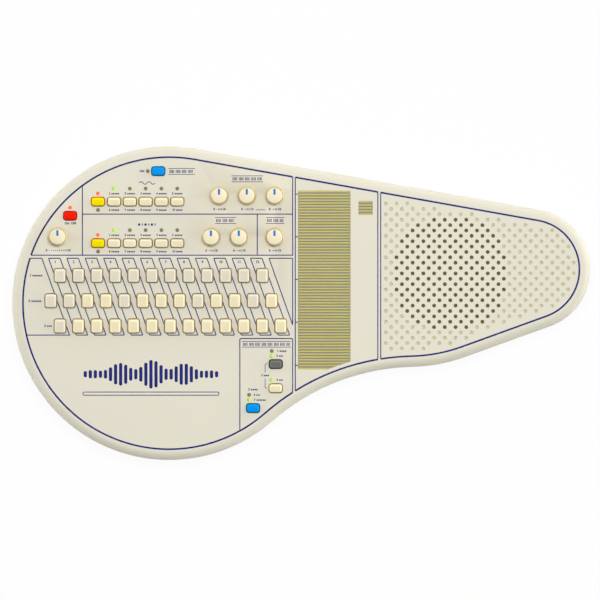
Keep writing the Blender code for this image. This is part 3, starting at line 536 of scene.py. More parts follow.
for cell in dimple_cells():
    outlines = [circle(grille_spot(cell), radius) for radius, _ in DIMPLE]
    mouths.append(pocket(upper, outlines, [PANEL_Z - depth for _, depth in DIMPLE]))
level(upper, [rim] + mouths)
level(upper, [ceiling] + feet)
bmesh.ops.remove_doubles(upper, verts=upper.verts, dist=0.001 * MM)
# The darker tone of the ivory in the dimples and down the openings is painted shade.
ivory = moulded(
    "ivory_plastic", shade(227, 222, 203), 0.54, painted_recess_shade=(CEILING_Z + 1.0, PANEL_Z - 0.1, shade(206, 201, 166)),
    grain=0.8, depth=0.06, mottle=0.05)
upper_case = piece("upper_case", upper, ivory, "case", ["top_case"], turn=32.0)


def stack(bm, outlines, heights):
    """A closed solid through outlines at heights, with a level face at each end."""
    rings = [ring(bm, outline, height) for outline, height in zip(outlines, heights)]
    bands(bm, rings)
    bm.faces.new(rings[0])
    bm.faces.new(rings[-1])


def slab(bm, outline, low, high):
    """A closed solid with upright sides."""
    stack(bm, [outline, outline], [low, high])


def drum(bm, centre, profile, sides=48):
    """A turned solid from (radius, height) pairs."""
    stack(bm, [circle(centre, radius, sides) for radius, _ in profile], [height for _, height in profile])


def carve(made, tool_bm):
    """Takes the tool's solids out of a piece for good."""
    bmesh.ops.recalc_face_normals(tool_bm, faces=tool_bm.faces)
    tool = bpy.data.objects.new("tool", mesh_from("tool", tool_bm))
    bpy.context.scene.collection.objects.link(tool)
    cutter = made.modifiers.new("cut", "BOOLEAN")
    cutter.solver = "EXACT"
    cutter.object = tool
    graph = bpy.context.evaluated_depsgraph_get()
    result = bpy.data.meshes.new_from_object(made.evaluated_get(graph))
    made.modifiers.clear()
    made.data = result
    bpy.data.objects.remove(tool, do_unlink=True)


def lay_along_y(bm, centre_x, centre_z):
    """Tips solids built round the Z axis over, so that their heights run along +Y."""
    for vertex in bm.verts:
        x, y, z = vertex.co
        vertex.co = (centre_x * MM + x, z, centre_z * MM - y)


JACK_Z = 30.6
JACK_XS = (-163.0, -133.0, -103.0)
JACK_NOSE = 5.2


def wall_y(x):
    """How far out the far wall is at a jack."""
    return math.sqrt(BIG_END[2] ** 2 - (x - BIG_END[0]) ** 2)


jack_holes = bmesh.new()
for jack_x in JACK_XS:
    rod = bmesh.new()
    drum(rod, (0.0, 0.0), [(JACK_NOSE + PLAY, 140.0), (JACK_NOSE + PLAY, 165.0)], 32)
    lay_along_y(rod, jack_x, JACK_Z)
    jack_holes.from_mesh(mesh_from("rod", rod))
carve(upper_case, jack_holes)


# Printing on the panel. Thin navy ink, screen-printed on the ivory: the border of each section, the
# slanted frames behind the chord buttons, numbers, rules and plain signs. It stands proud by the
# thickness of the ink and stops at the edges of the openings.
INK_LOW, INK_TOP = PANEL_Z - 0.02, PANEL_Z + 0.04
BORDER_INSET = 11.1
BOLD, FINE, RULE = 1.75, 1.0, 0.6
CONTROLS_RIGHT, STRUM_FROM, STRUM_TO, GRILLE_FROM = -8.6, -5.95, 77.1, 80.0
UPPER_Y, LOWER_Y, CHORDS_NEAR = 48.3, 45.2, -32.1


def clipped(outline, axis, limit, less):
    """The part of a closed outline on one side of a line across x (axis 0) or y (axis 1)."""
    kept = []
    for here, after in zip(outline, outline[1:] + outline[:1]):
        inside, inside_after = [(p[axis] <= limit) == less for p in (here, after)]
        if inside:
            kept.append(here)
        if inside != inside_after:
            share = (limit - here[axis]) / (after[axis] - here[axis])
            kept.append(tuple(a + share * (b - a) for a, b in zip(here, after)))
    return kept


def softened(outline, radius=1.4):
    """The same closed outline with its sharp corners rounded."""
    done = []
    for before, here, after in zip(outline[-1:] + outline[:-1], outline, outline[1:] + outline[:1]):
        come = Vector((here[0] - before[0], here[1] - before[1]))
        leave = Vector((after[0] - here[0], after[1] - here[1]))
        if min(come.length, leave.length) < 0.001:
            continue
        if come.angle(leave) < math.radians(18):
            done.append(here)
            continue
        short = min(radius, come.length / 2, leave.length / 2)
        start = Vector(here) - come.normalized() * short
        finish = Vector(here) + leave.normalized() * short
        for part in (0.0, 0.25, 0.5, 0.75, 1.0):
            point = start * (1 - part) ** 2 + Vector(here) * 2 * part * (1 - part) + finish * part**2
            done.append((point.x, point.y))
    return done


def stroke(bm, line, width, closed=False):
    """A ribbon of ink along a line, mitred where the line turns."""
    count = len(line)
    sections = []
    for i, (x, y) in enumerate(line):
        ways = []
        if closed or i:
            ways.append(Vector((x - line[i - 1][0], y - line[i - 1][1])).normalized())
        if closed or i + 1 < count:
            ahead = line[(i + 1) % count]
            ways.append(Vector((ahead[0] - x, ahead[1] - y)).normalized())
        way = sum(ways, Vector((0.0, 0.0)))
        reach = width / 2 / (way.length / len(ways))
        way.normalize()
        left = (x - way.y * reach, y + way.x * reach)
        right = (x + way.y * reach, y - way.x * reach)
        corners = ((left, INK_LOW), (left, INK_TOP), (right, INK_TOP), (right, INK_LOW))
        sections.append([bm.verts.new((p[0] * MM, p[1] * MM, z * MM)) for p, z in corners])
    if closed:
        bands(bm, sections + sections[:1])
    else:
        bands(bm, sections)
        bm.faces.new(sections[0])
        bm.faces.new(sections[-1])


def section(bm, outline):
    """The border of a section: bold along the housing's edge, and fine on its straight sides."""
    ends = list(zip(outline, outline[1:] + outline[:1]))
    straight = [
        math.dist(a, b) > 5.0 and min(abs(a[0] - b[0]), abs(a[1] - b[1])) < 0.001 for a, b in ends]
    start = next(i for i in range(len(ends)) if straight[i] and not straight[i - 1])
    points = outline[start:] + outline[:start + 1]
    kinds = straight[start:] + straight[:start]
    for is_straight, run in itertools.groupby(range(len(kinds)), key=lambda i: kinds[i]):
        numbers = list(run)
        stroke(bm, points[numbers[0]:numbers[-1] + 2], FINE if is_straight else BOLD)


def bar(bm, x, y, width, height):
    """A solid bar of ink round a middle."""
    outline = rectangle(x - width / 2, x + width / 2, y - height / 2, y + height / 2)
    slab(bm, outline, INK_LOW, INK_TOP)


def numerals(bm, text, x, y, height):
    """Numbers or a plain word in the built-in face, with their middle at a spot."""
    curve = bpy.data.curves.new("numerals", "FONT")
    curve.body = text
    curve.size = height * MM / 0.70
    curve.extrude = (INK_TOP - INK_LOW) / 2 * MM
    curve.align_x = "CENTER"
    curve.align_y = "CENTER"
    curve.offset = 0.13 * MM
    curve.resolution_u = 3
    guide = bpy.data.objects.new("numerals", curve)
    bpy.context.scene.collection.objects.link(guide)
    graph = bpy.context.evaluated_depsgraph_get()
    mesh = bpy.data.meshes.new_from_object(guide.evaluated_get(graph))
    bpy.data.objects.remove(guide, do_unlink=True)
    for vertex in mesh.vertices:
        vertex.co += Vector((x * MM, y * MM, (INK_LOW + INK_TOP) / 2 * MM))
    bm.from_mesh(mesh)


def entry(bm, x, y, text, length, height=2.1):
    """A number followed by a row of short upright dashes, as long as a small word."""
    number_width = height * 0.75 * len(text)
    numerals(bm, text, x - length / 2 + number_width / 2, y, height)
    free = length - number_width - 0.9
    dashes = max(1, round(free / 1.6))
    step = free / dashes
    for i in range(dashes):
        bar(bm, x - length / 2 + number_width + 0.9 + step * (i + 0.5), y - 0.2, step - 0.4, 1.5)


def ruled(bm, left, right, high, low):
    """Two fine rules with a row of upright strokes between them, in fours."""
    for y in (high, low):
        bar(bm, (left + right) / 2, y, right - left, RULE)
    count = round((right - left - 2.0) / 1.25)
    step = (right - left - 2.0) / count
    for i in range(count):
        if i % 5 != 4:
            bar(bm, left + 1.0 + step * (i + 0.5), (high + low) / 2, (0.8, 0.6)[i % 2], 3.1)


border = housing(BORDER_INSET)
ink = bmesh.new()
left_part = clipped(border, 0, CONTROLS_RIGHT, True)
section(ink, clipped(left_part, 1, UPPER_Y, False))
near = clipped(left_part, 1, LOWER_Y, True)
first = near.index(min(near, key=lambda p: (abs(p[1] - LOWER_Y) > 0.001, p[0])))
near = near[first:] + near[:first]
stroke(ink, near[:-1], BOLD)
section(ink, clipped(clipped(border, 0, STRUM_FROM, False), 0, STRUM_TO, True))
section(ink, clipped(border, 0, GRILLE_FROM, False))
BOX_LEFT, BOX_FAR = -61.7, -35.5
box_foot = min(
    (p for p in border if p[1] < -60 and abs(p[0] - BOX_LEFT) < 4), key=lambda p: abs(p[0] - BOX_LEFT))
box = [(BOX_LEFT, box_foot[1]), (BOX_LEFT, BOX_FAR), (CONTROLS_RIGHT, BOX_FAR), near[-2]]
stroke(ink, [box_foot] + softened(box)[1:-1], FINE)
ROWS_LEFT, ROWS_BETWEEN, CHORD_KNOB_LEFT = -220.1, 89.6, -44.2
stroke(ink, [(ROWS_LEFT, 117.6), (ROWS_LEFT, UPPER_Y)], FINE)
stroke(ink, [(ROWS_LEFT, ROWS_BETWEEN), (CONTROLS_RIGHT, ROWS_BETWEEN)], FINE)
stroke(ink, [(CHORD_KNOB_LEFT, ROWS_BETWEEN), (CHORD_KNOB_LEFT, UPPER_Y)], FINE)
for tick_y in (109.8, 66.8, 23.9, -19.2, -62.5):
    bar(ink, -4.55, tick_y, 2.6, FINE)
stroke(ink, [(-34.1, -60.4), (-36.3, -61.6), (-36.3, -69.6)], RULE)
stroke(ink, [(-36.3, -75.7), (-36.3, -85.0), (-34.1, -85.5)], RULE)

for left, right, high, low in (
    (-133.6, -106.8, 135.5, 129.6), (-70.1, -38.3, 128.1, 122.1), (-86.7, -65.6, 86.2, 80.2),
    (-35.5, -16.9, 86.2, 80.2), (-59.8, -10.4, -38.5, -44.2)
):
    ruled(ink, left, right, high, low)
for row_y in (102.1, 60.3):
    for i, (x, _) in enumerate(bank_places("voice_button_bank")):
        entry(ink, x, row_y + 8.2, str(i + 1), 10.5)
        entry(ink, x, row_y - 8.3, str(i + 6), 10.5)
wave = [(-163.0 + 16.0 * i / 40, 120.9 + 1.3 * math.sin(i / 40 * math.tau * 2)) for i in range(41)]
stroke(ink, wave, 0.7)
for i in range(6):
    bar(ink, -163.0 + 3.2 * i, 79.1, (2.2, 0.9)[i % 2], 2.2)
DIAL_DROP = 13.6
for knob in KNOB_NODES:
    knob_x, knob_y = middle(knob)
    reach, marks = (11.2, 9) if knob == "master_volume_knob" else (4.9, 4)
    numerals(ink, "0", knob_x - reach, knob_y - DIAL_DROP, 2.3)
    numerals(ink, "10", knob_x + reach, knob_y - DIAL_DROP, 2.3)
    for i in range(marks):
        mark_x = knob_x + (i / (marks - 1) - 0.5) * (2 * reach - 5.4)
        bar(ink, mark_x, knob_y - DIAL_DROP, 0.75, 0.7 + 1.4 * i / (marks - 1))
bar(ink, -40.8, 93.9, 9.4, RULE)
numerals(ink, "ON", -160.3, 132.8, 2.1)
numerals(ink, "ON  OFF", -232.1, 80.2, 2.1)
for number, (x, y) in enumerate(((-266.8, 27.9), (-267.8, 2.2), (-254.7, -22.9)), 1):
    entry(ink, x, y, str(number), (13.0, 13.0, 8.0)[number - 1], 2.5)
for x, y, text, length in (
    (-19.6, -48.1, "1", 9.5), (-21.6, -53.0, "2", 6.5), (-36.3, -72.6, "3", 8.0), (-21.6, -77.2, "4", 6.5),
    (-48.5, -86.8, "5", 9.5), (-44.6, -92.2, "6", 6.5), (-41.6, -97.3, "7", 12.0)):
    entry(ink, x, y, text, length)
for i in range(12):
    numerals(ink, str(i + 1), -247.4 + 18.5 * i, 41.4, 2.5)
BARS, BAR_PITCH = 27, 5.08
for i in range(BARS):
    swell = math.sin(math.pi * (i + 0.5) / BARS) * (0.62 + 0.38 * math.cos(i * 0.95))
    tall = 5.0 + 24.0 * abs(swell)
    slab(ink, rounded((-217.2 + BAR_PITCH * i, -71.5), 3.3, tall, 1.6, 4), INK_LOW, INK_TOP)
stroke(ink, softened(rectangle(-219.6, -82.8, -92.6, -89.4), 1.5), 0.8, closed=True)

navy = moulded("navy_ink", shade(16, 26, 110), 0.60, grain=0.5, depth=0.01, mottle=0.10, gloss=0.2)
piece("panel_print", ink, navy, "case", ())

frames = bmesh.new()
SLANT, SLANT_LEFT = 27.8, -260.9
FRAME_LEFT, FRAME_WIDTH, FRAME_PITCH = -254.2, 11.6, 18.47
left_end = clipped(clipped(border, 0, -200.0, True), 1, CHORDS_NEAR, True)
border_left = min(x for x, y in left_end if abs(y - CHORDS_NEAR) < 0.01)
end = [near[0], (SLANT_LEFT, LOWER_Y), (SLANT_LEFT + SLANT, CHORDS_NEAR), (border_left, CHORDS_NEAR)]
stroke(frames, end, FINE)
for i in range(12):
    left = FRAME_LEFT + FRAME_PITCH * i
    outline = [
        (left, LOWER_Y), (left + SLANT, CHORDS_NEAR), (left + FRAME_WIDTH + SLANT, CHORDS_NEAR),
        (left + FRAME_WIDTH, LOWER_Y)]
    stroke(frames, softened(outline, 0.8), FINE, closed=True)
last = [(-32.4, LOWER_Y), (CONTROLS_RIGHT, -21.9), (CONTROLS_RIGHT, LOWER_Y)]
stroke(frames, softened(last, 0.8), FINE, closed=True)
chord_frames = piece("chord_frames_print", frames, navy, "case", ())
holes = bmesh.new()
for node in CHORD_NODES:
    width, depth, corner = CHORD_CAP
    spread = 2 * CAP_GAP + 2 * CHAMFER + 0.1
    outline = rounded(middle(node), width + spread, depth + spread, corner + spread / 2)
    slab(holes, outline, PANEL_Z - 1.0, PANEL_Z + 1.0)
carve(chord_frames, holes)


# Chord buttons. Thirty-eight moulded caps, twenty cream and eighteen grey-white, each with a flared
# skirt that the panel holds down, on the bumps of one rubber mat. The sides lean in a little, and
# the top is a shallow crown with a level middle.
def cap_mesh(name, width, depth, corner, height, level_inset):
    """A cap round its own middle, with heights counted from the panel's face."""
    bm = bmesh.new()
    neck = -WALL - PLAY
    steps = [
        (-1.0, neck - 1.8), (-1.0, neck - 0.7), (0.0, neck), (0.0, -0.3), (0.72, height - 1.5),
        (0.82, height - 1.1), (1.02, height - 0.75), (1.34, height - 0.48),
        (level_inset - 0.25, height - 0.06), (level_inset, height), (level_inset + 0.25, height)]
    outlines = []
    for inset, _ in steps:
        along = inset * (1.0 if inset < 1.0 else 1.0 + 0.25 * (inset - 1.0))
        outlines.append(rounded(
            (0.0, 0.0), width - 2 * inset, depth - 2 * along, max(0.3, corner - 0.8 * max(0.0, inset)), 5))
    stack(bm, outlines, [z for _, z in steps])
    return smooth_mesh(name, bm, 35.0)


def cap_plastic(name, *tones):
    """Cap plastic in four screen colours: the top, painted shade on the sides, a painted highlight on the
    edges, and darker painted shade low on the sides.
    """
    colour, side, edge, foot = [shade(*tone) for tone in tones]
    return moulded(
        name, colour, 0.52, side=side, edge=edge, foot=(foot, 0.45, 2.3), grain=0.6, depth=0.02, mottle=0.03,
        gloss=0.03)


def seat(name, cap, spot, finish, node, nodes):
    """Puts a cap in its opening."""
    settle(name, cap, finish, node, nodes, (spot[0] * MM, spot[1] * MM, PANEL_Z * MM))


# The second, third and fourth colours of each cap are painted shade, painted highlight and painted shade.
white_cap = cap_plastic("cap_grey_white", (232, 224, 200), (196, 184, 142), (246, 238, 217), (86, 70, 18))
cream_cap = cap_plastic("cap_cream", (245, 233, 195), (220, 198, 134), (255, 246, 212), (108, 78, 10))
chord_cap = cap_mesh("chord_cap", *CHORD_CAP, 5.5, 2.5)
CREAM_MIDDLE = ("03", "04", "06", "07", "08", "10", "11", "13")
for node in CHORD_NODES:
    row, column = node.split("_")[-2:]
    is_cream = (row == "2" and column in CREAM_MIDDLE) or (row == "3" and column != "01")
    finish, slot = (cream_cap, "cream_cap") if is_cream else (white_cap, "white_cap")
    seat("cap_" + row + "_" + column, chord_cap, middle(node), finish, node, [node])


# Function buttons. Smaller caps of the same make: power and the mode switches by themselves, and
# two rows of one yellow select button and five cream ones, which share a rail under the panel.
RAIL_HALF_LENGTH, RAIL_HALF_DEPTH = 39.2, 5.7
function_cap = cap_mesh("function_cap", *FUNCTION_CAP, 4.0, 2.3)
# The second, third and fourth colours of each cap are painted shade, painted highlight and painted shade.
yellow_cap = cap_plastic("cap_yellow", (255, 232, 0), (236, 168, 0), (255, 238, 0), (132, 44, 0))
red_cap = cap_plastic("cap_red", (252, 24, 0), (216, 12, 0), (255, 34, 0), (104, 2, 0))
blue_cap = cap_plastic("cap_blue", (0, 154, 246), (0, 102, 188), (0, 164, 255), (0, 22, 56))
grey_cap = cap_plastic("cap_dark_grey", (110, 111, 104), (62, 62, 54), (122, 124, 116), (18, 17, 10))
for node, finish, slot in (
    ("power_button", red_cap, "red_cap"), ("keyboard_button", blue_cap, "blue_cap"),
    ("rhythm_start_button", blue_cap, "blue_cap"), ("chord_auto_button", grey_cap, "grey_cap"),
    ("chord_hold_button", cream_cap, "cream_cap"), ("voice_select_button", yellow_cap, "yellow_cap"),
    ("pattern_select_button", yellow_cap, "yellow_cap")
):
    seat(node.replace("button", "cap"), function_cap, middle(node), finish, node, [node])
for node in BANK_NODES:
    rail = bmesh.new()
    x, y = middle(node)
    outline = rectangle(x - RAIL_HALF_LENGTH, x + RAIL_HALF_LENGTH, y - RAIL_HALF_DEPTH, y + RAIL_HALF_DEPTH)
    slab(rail, outline, CEILING_Z - PLAY - 1.8, CEILING_Z - PLAY - 0.1)
    piece(node.replace("button_bank", "rail"), rail, cream_cap, node, [node])
    for number, spot in enumerate(bank_places(node), 1):
        name = f"{node.split('_')[0]}_cap_{number}"
        seat(name, function_cap, spot, cream_cap, node, ())


# Knobs. Seven turned cream knobs pushed on the shafts of the potentiometers, each with a tapering
# skirt, a rounded shoulder and a blue pointer let into its top.
# The gold sides of the knobs and their darker foot are painted shade, and the light edge round the top is a
# painted highlight.
knob_cream = moulded(
    "knob_cream", shade(239, 226, 189), 0.38, side=shade(206, 186, 120), edge=shade(250, 240, 212),
    foot=(shade(172, 147, 70), PANEL_Z + 1.0, PANEL_Z + 9.0), grain=0.7, depth=0.015, mottle=0.03, gloss=0.3)
pointer_blue = moulded(
    "pointer_blue", shade(0, 122, 204), 0.45, grain=0.5, depth=0.01, mottle=0.05, gloss=0.15)
KNOB_FOOT = PANEL_Z + 0.3
KNOB_PROFILE = [
    (6.2, 14.20), (6.8, 14.12), (7.3, 13.92), (7.68, 13.55), (7.92, 13.0), (8.05, 12.3), (9.0, 2.0),
    (9.06, 1.75), (9.45, 1.58), (9.7, 1.2), (9.75, 0.5), (9.6, 0.0), (3.35, 0.0), (3.3, 0.2), (3.3, 9.0)]
for node in KNOB_NODES:
    x, y = middle(node)
    turned, slot_tool, inlay = bmesh.new(), bmesh.new(), bmesh.new()
    drum(turned, (x, y), [(radius, KNOB_FOOT + height) for radius, height in KNOB_PROFILE], 64)
    knob = piece(node.replace("_knob", "_dial"), turned, knob_cream, node, [node], turn=40.0)
    slab(slot_tool, rectangle(x - 1.18, x + 1.12, y + 0.9, y + 6.7), KNOB_FOOT + 13.8, KNOB_FOOT + 14.6)
    carve(knob, slot_tool)
    slab(inlay, rectangle(x - 1.16, x + 1.10, y + 0.92, y + 6.68), KNOB_FOOT + 13.75, KNOB_FOOT + 14.16)
    piece(node.replace("_knob", "_pointer"), inlay, pointer_blue, node, ())


# Lights. Small domed lamps of cast resin, soldered to the control board and standing a little
# proud of their holes. Green and red ones are lit, and the rest are a dull grey.
def lens(name, colour, glow, painted_highlight_glow, power):
    """Cast resin that glows when lit, with a painted highlight: the glow is brighter towards the +X side of
    the dome.
    """
    finish, start, spot = new_finish(name)
    cloud = noise(spot, 900.0, 2.0)
    body = colour_mix(start, cloud, tuple(0.8 * c for c in colour[:3]) + (1.0,), colour)
    highlight_side = axis_of(start.node("TexCoord", output="Normal"), "X")
    close_finish(start, {
        "Base Color": body, "Roughness": cloud * 0.1 + 0.30,
        "Emission Color": colour_mix(start, highlight_side * 5.0 + 0.45, glow, painted_highlight_glow),
        "Emission Strength": power, "Specular IOR Level": 0.2})
    return finish


GREEN_LIT = {(-29.6, -53.0), (-29.6, -77.2), (-52.4, -97.3)}
RED_LIT = {(-232.3, 96.2)}
for row_node, row_bank in zip(SELECT_NODES, BANK_NODES):
    select_x, select_y = middle(row_node)
    first_x, first_y = bank_places(row_bank)[0]
    RED_LIT.add((select_x, select_y + SELECT_LIGHT_RISE))
    GREEN_LIT.add((first_x, first_y + ROW_LIGHT_RISE))
DOME = [(1.8, 37.5), (1.8, 45.95), (1.7, 46.12), (1.4, 46.28), (0.9, 46.37), (0.4, 46.4)]
# The last of the three colours of each lit lens is a painted highlight on the +X side of its dome.
green = lens("resin_green", shade(88, 156, 0), shade(138, 200, 0), shade(222, 248, 30), 0.8)
red = lens("resin_red", shade(200, 60, 36), shade(230, 82, 44), shade(250, 138, 84), 0.8)
dull = lens("resin_dull", shade(132, 124, 86), shade(0, 0, 0), shade(0, 0, 0), 0.0)
for name, spots, finish in (
    ("lights_green", GREEN_LIT, green), ("lights_red", RED_LIT, red),
    ("lights_off", set(LIGHT_PLACES) - GREEN_LIT - RED_LIT, dull)
):
    domes = bmesh.new()
    for spot in sorted(spots):
        drum(domes, spot, DOME, 24)
    piece(name, domes, finish, "case", (), turn=60.0)


# Strum plate. Gold-plated contact strips on a grey board that lies under the panel and comes up in
# two windows: sixty-three long strips with a cut corner, and a small field of five.
BOARD_TOP = CEILING_Z - PLAY
GROUND_Z = PANEL_Z - 0.4
strum_board = bmesh.new()
arm = rectangle(STRIP_RIGHT + 3.6, PAD_LEFT + PAD_LENGTH + 3.5, PAD_NEAR - 3.5, PAD_FAR + 3.5)
for outline in (strum_window(3.5), arm):
    slab(strum_board, outline, BOARD_TOP - 1.6, BOARD_TOP)
for field in (strum_window(0.0), pad_window(0.0)):
    slab(strum_board, field, BOARD_TOP - 0.2, GROUND_Z)
ground_grey = moulded("strum_ground", shade(122, 126, 114), 0.55, grain=0.5, depth=0.02, mottle=0.06)
piece("strum_board", strum_board, ground_grey, "case", ["strum_plate"])


def strip(bm, left, right_low, right_high, low, high):
    """One raised strip with broken edges. Its right end may run on a slant."""
    outlines = []
    for edge in (0.0, 0.0, 0.12):
        outlines.append([
            (left + edge, low + edge), (right_low - edge, low + edge), (right_high - edge, high - edge),
            (left + edge, high - edge)])
    stack(bm, outlines, [GROUND_Z - 0.1, PANEL_Z - 0.2, PANEL_Z - 0.1])


def cut_right(y):
    return min(STRIP_RIGHT, STRIP_RIGHT - STRIP_CUT[0] + (y - STRIP_NEAR) * STRIP_CUT[0] / STRIP_CUT[1])


strips = bmesh.new()
for i in range(STRIP_COUNT):
    high = STRIP_FAR - i * STRIP_PITCH
    low = high - STRIP_WIDTH
    strip(strips, STRIP_LEFT + 0.05, cut_right(low) - 0.05, cut_right(high) - 0.05, low, high)
for i in range(PAD_COUNT):
    high = PAD_FAR - i * PAD_PITCH
    right = PAD_LEFT + PAD_LENGTH - 0.05
    strip(strips, PAD_LEFT + 0.05, right, right, high - STRIP_WIDTH, high)
gold, start, spot = new_finish("strip_gold")
stretched = start.node("Mapping", None, {"Vector": spot, "Scale": (60.0, 1500.0, 60.0)})
brushed = noise(stretched, 1.0, 4.0)
tone = (brushed - 0.5) * 0.5 + (noise(spot, 30.0, 3.0) - 0.5) * 0.4 + 0.5
close_finish(start, {
    "Base Color": colour_mix(start, tone, shade(149, 138, 68), shade(180, 169, 100)), "Metallic": 0.55,
    "Roughness": (brushed - 0.5) * 0.2 + 0.60})
piece("strum_strips", strips, gold, "case", ())


# Loudspeaker. A pressed flange held under the grille, a rolled rubber surround, a ribbed paper cone,
# a dust cap, and the basket and magnet behind it.
CONE_FOOT = CEILING_Z - PLAY - 16.0
profile = [
    (0.4, CONE_FOOT + 4.0), (4.0, CONE_FOOT + 3.8), (8.4, CONE_FOOT + 2.9), (12.0, CONE_FOOT + 1.3),
    (14.0, CONE_FOOT)]
for i in range(1, 13):
    share = i / 12
    profile.append((14.0 + 36.0 * share, CONE_FOOT + 14.0 * share**0.8 + (0.35 if i % 2 else 0.0)))
profile += [
    (51.5, CEILING_Z - 1.3), (53.0, CEILING_Z - 0.7), (54.5, CEILING_Z - 1.3), (56.0, CEILING_Z - 2.3),
    (56.0, CEILING_Z - PLAY), (61.0, CEILING_Z - PLAY), (61.0, CEILING_Z - 2.3), (56.5, CEILING_Z - 5.0),
    (31.0, CONE_FOOT - 2.6), (30.0, CONE_FOOT - 3.0), (30.0, CONE_FOOT - 15.6), (29.6, CONE_FOOT - 16.0)]
speaker = bmesh.new()
drum(speaker, SPEAKER, profile, 72)
cone_paper = moulded("cone_paper", shade(40, 36, 28), 0.85, grain=1.2, depth=0.15, mottle=0.25)
piece("loudspeaker", speaker, cone_paper, "case", ["speaker"], turn=45.0)


# Grille cloth. A brown woven dust cloth, glued to the back of the grille in front of the cone.
CLOTH_TOP = CEILING_Z - 0.05
cloth = bmesh.new()
drum(cloth, SPEAKER, [(60.5, CLOTH_TOP - 0.2), (60.5, CLOTH_TOP)], 72)
woven, start, spot = new_finish("woven_cloth")
weave = [
    start.node("TexWave", {"bands_direction": direction}, {"Vector": spot, "Scale": 620.0, "Distortion": 0.4})
    for direction in ("X", "Y")]
threads = weave[0] * weave[1]
raised = start.node("Bump", None, {"Height": threads, "Strength": 0.5, "Distance": 0.1 * MM})
close_finish(start, {
    "Base Color": colour_mix(start, threads, shade(92, 82, 36), shade(158, 144, 82)),
    "Roughness": threads * -0.1 + 0.9, "Normal": raised})
piece("grille_cloth", cloth, woven, "case", ())


# Control board. A green circuit board under the panel with the rubber contact mat, the switches,
# the potentiometers with their steel shafts, and three jacks that look out of the far wall.
BOARD_LOW, BOARD_HIGH = 36.6, 38.2
board_outline = clipped(clipped(housing(15.0), 0, -11.0, True), 1, -114.0, False)
board = bmesh.new()
slab(board, board_outline, BOARD_LOW, BOARD_HIGH)
board_green = moulded("board_green", shade(34, 96, 58), 0.40, grain=2.0, depth=0.03, mottle=0.20, coat=0.3)
piece("circuit_board", board, board_green, "case", ["control_board"])
mat = bmesh.new()
slab(mat, rounded((-135.5, 2.4), 250.0, 66.5, 3.0), BOARD_HIGH - 0.2, BOARD_HIGH + 1.4)
mat_rubber = moulded("mat_rubber", shade(84, 82, 76), 0.75, grain=1.0, depth=0.05, mottle=0.10)
piece("contact_mat", mat, mat_rubber, "case", ())
switches = bmesh.new()
for spot in CAP_PLACES:
    slab(switches, rounded(spot, 6.0, 6.0, 0.6), BOARD_HIGH - 0.2, CEILING_Z - PLAY - 3.1)
pots = bmesh.new()
shafts = bmesh.new()
for node in KNOB_NODES:
    slab(pots, rounded(middle(node), 14.0, 14.0, 1.0), BOARD_HIGH - 0.2, CEILING_Z - PLAY)
    drum(shafts, middle(node), [(3.0, CEILING_Z - 0.6), (3.0, KNOB_FOOT + 8.3), (2.7, KNOB_FOOT + 8.7)], 24)
black_case = moulded("black_moulding", shade(42, 42, 40), 0.50, grain=1.0, depth=0.03, mottle=0.10)
piece("switches", switches, black_case, "case", ())
nickel, start, spot = new_finish("nickel")
haze = noise(spot, 400.0, 3.0)
close_finish(start, {
    "Base Color": colour_mix(start, haze, shade(176, 174, 166), shade(214, 212, 204)), "Metallic": 1.0,
    "Roughness": haze * 0.2 + 0.22})
piece("potentiometers", pots, nickel, "case", ())
piece("pot_shafts", shafts, nickel, "case", ())


def jack(name, x, finish, profile):
    """One jack's nose, turned round an axis along +Y, from its (radius, distance behind the wall)."""
    bm = bmesh.new()
    drum(bm, (0.0, 0.0), [(radius, wall_y(x) - back) for radius, back in profile], 32)
    lay_along_y(bm, x, JACK_Z)
    piece(name, bm, finish, "case", (), turn=35.0)


FRONT_Y = wall_y(JACK_XS[0]) - WALL - 3.0
bodies = bmesh.new()
for x in JACK_XS:
    outline = rectangle(x - 7.0, x + 7.0, FRONT_Y - 24.0, FRONT_Y)
    slab(bodies, outline, BOARD_LOW - 12.0, BOARD_LOW + 0.2)
piece("jack_bodies", bodies, black_case, "case", ())
bush = [(3.3, 19.9), (3.3, 1.8), (3.7, 1.35), (4.9, 1.35), (5.1, 1.65), (5.1, 8.0)]
inlet = [(3.3, 19.9), (3.3, 1.7), (3.6, 1.35), (5.0, 1.35), (5.15, 1.6), (5.15, 8.0)]
jack("power_inlet", JACK_XS[0], black_case, inlet)
jack("power_inlet_pin", JACK_XS[0], nickel, [(1.0, 19.5), (1.0, 3.9), (0.7, 3.5)])
jack("headphone_jack", JACK_XS[1], nickel, bush)
jack("output_jack", JACK_XS[2], nickel, bush)


# Lower case half. The same ivory plastic: a shallow tray with five moulded feet, seven recesses for
# the case screws, and the tub of the battery bay.
BASE_Z = 2.5
FLOOR_Z = BASE_Z + WALL
SEAM_LOW = PARTING_Z - HALF_SEAM
FOOT_REACH, SCREW_INSET = 130.0, 9.0
BAY_X, BAY_HALF_WIDTH, BAY_HALF_LENGTH = -133.0, 45.5, 28.0
FOOT_SPOTS = [off(BIG_END, FOOT_REACH, math.radians(turn)) for turn in (45, 135, 225, 315)]
FOOT_SPOTS.append(SMALL_END[:2])


def screw_spots():
    """Nine millimetres in from the edge: four round the big end and one on each other stretch."""
    reach = BIG_END[2] - SCREW_INSET
    spots = [off(BIG_END, reach, math.radians(turn)) for turn in (115, 165, 215, 265)]
    spots.append((SMALL_END[0] + SMALL_END[2] - SCREW_INSET, SMALL_END[1]))
    hip, _ = hip_and_waist()
    spots.append(off(hip, HIP_RADIUS - SCREW_INSET, math.radians(-85)))
    share = 0.57
    between = (BIG_END[0] + share * (SMALL_END[0] - BIG_END[0]), share * SMALL_END[1])
    reach = BIG_END[2] + share * (SMALL_END[2] - BIG_END[2]) - SCREW_INSET
    spots.append(off(between, reach, far_turn()))
    return spots


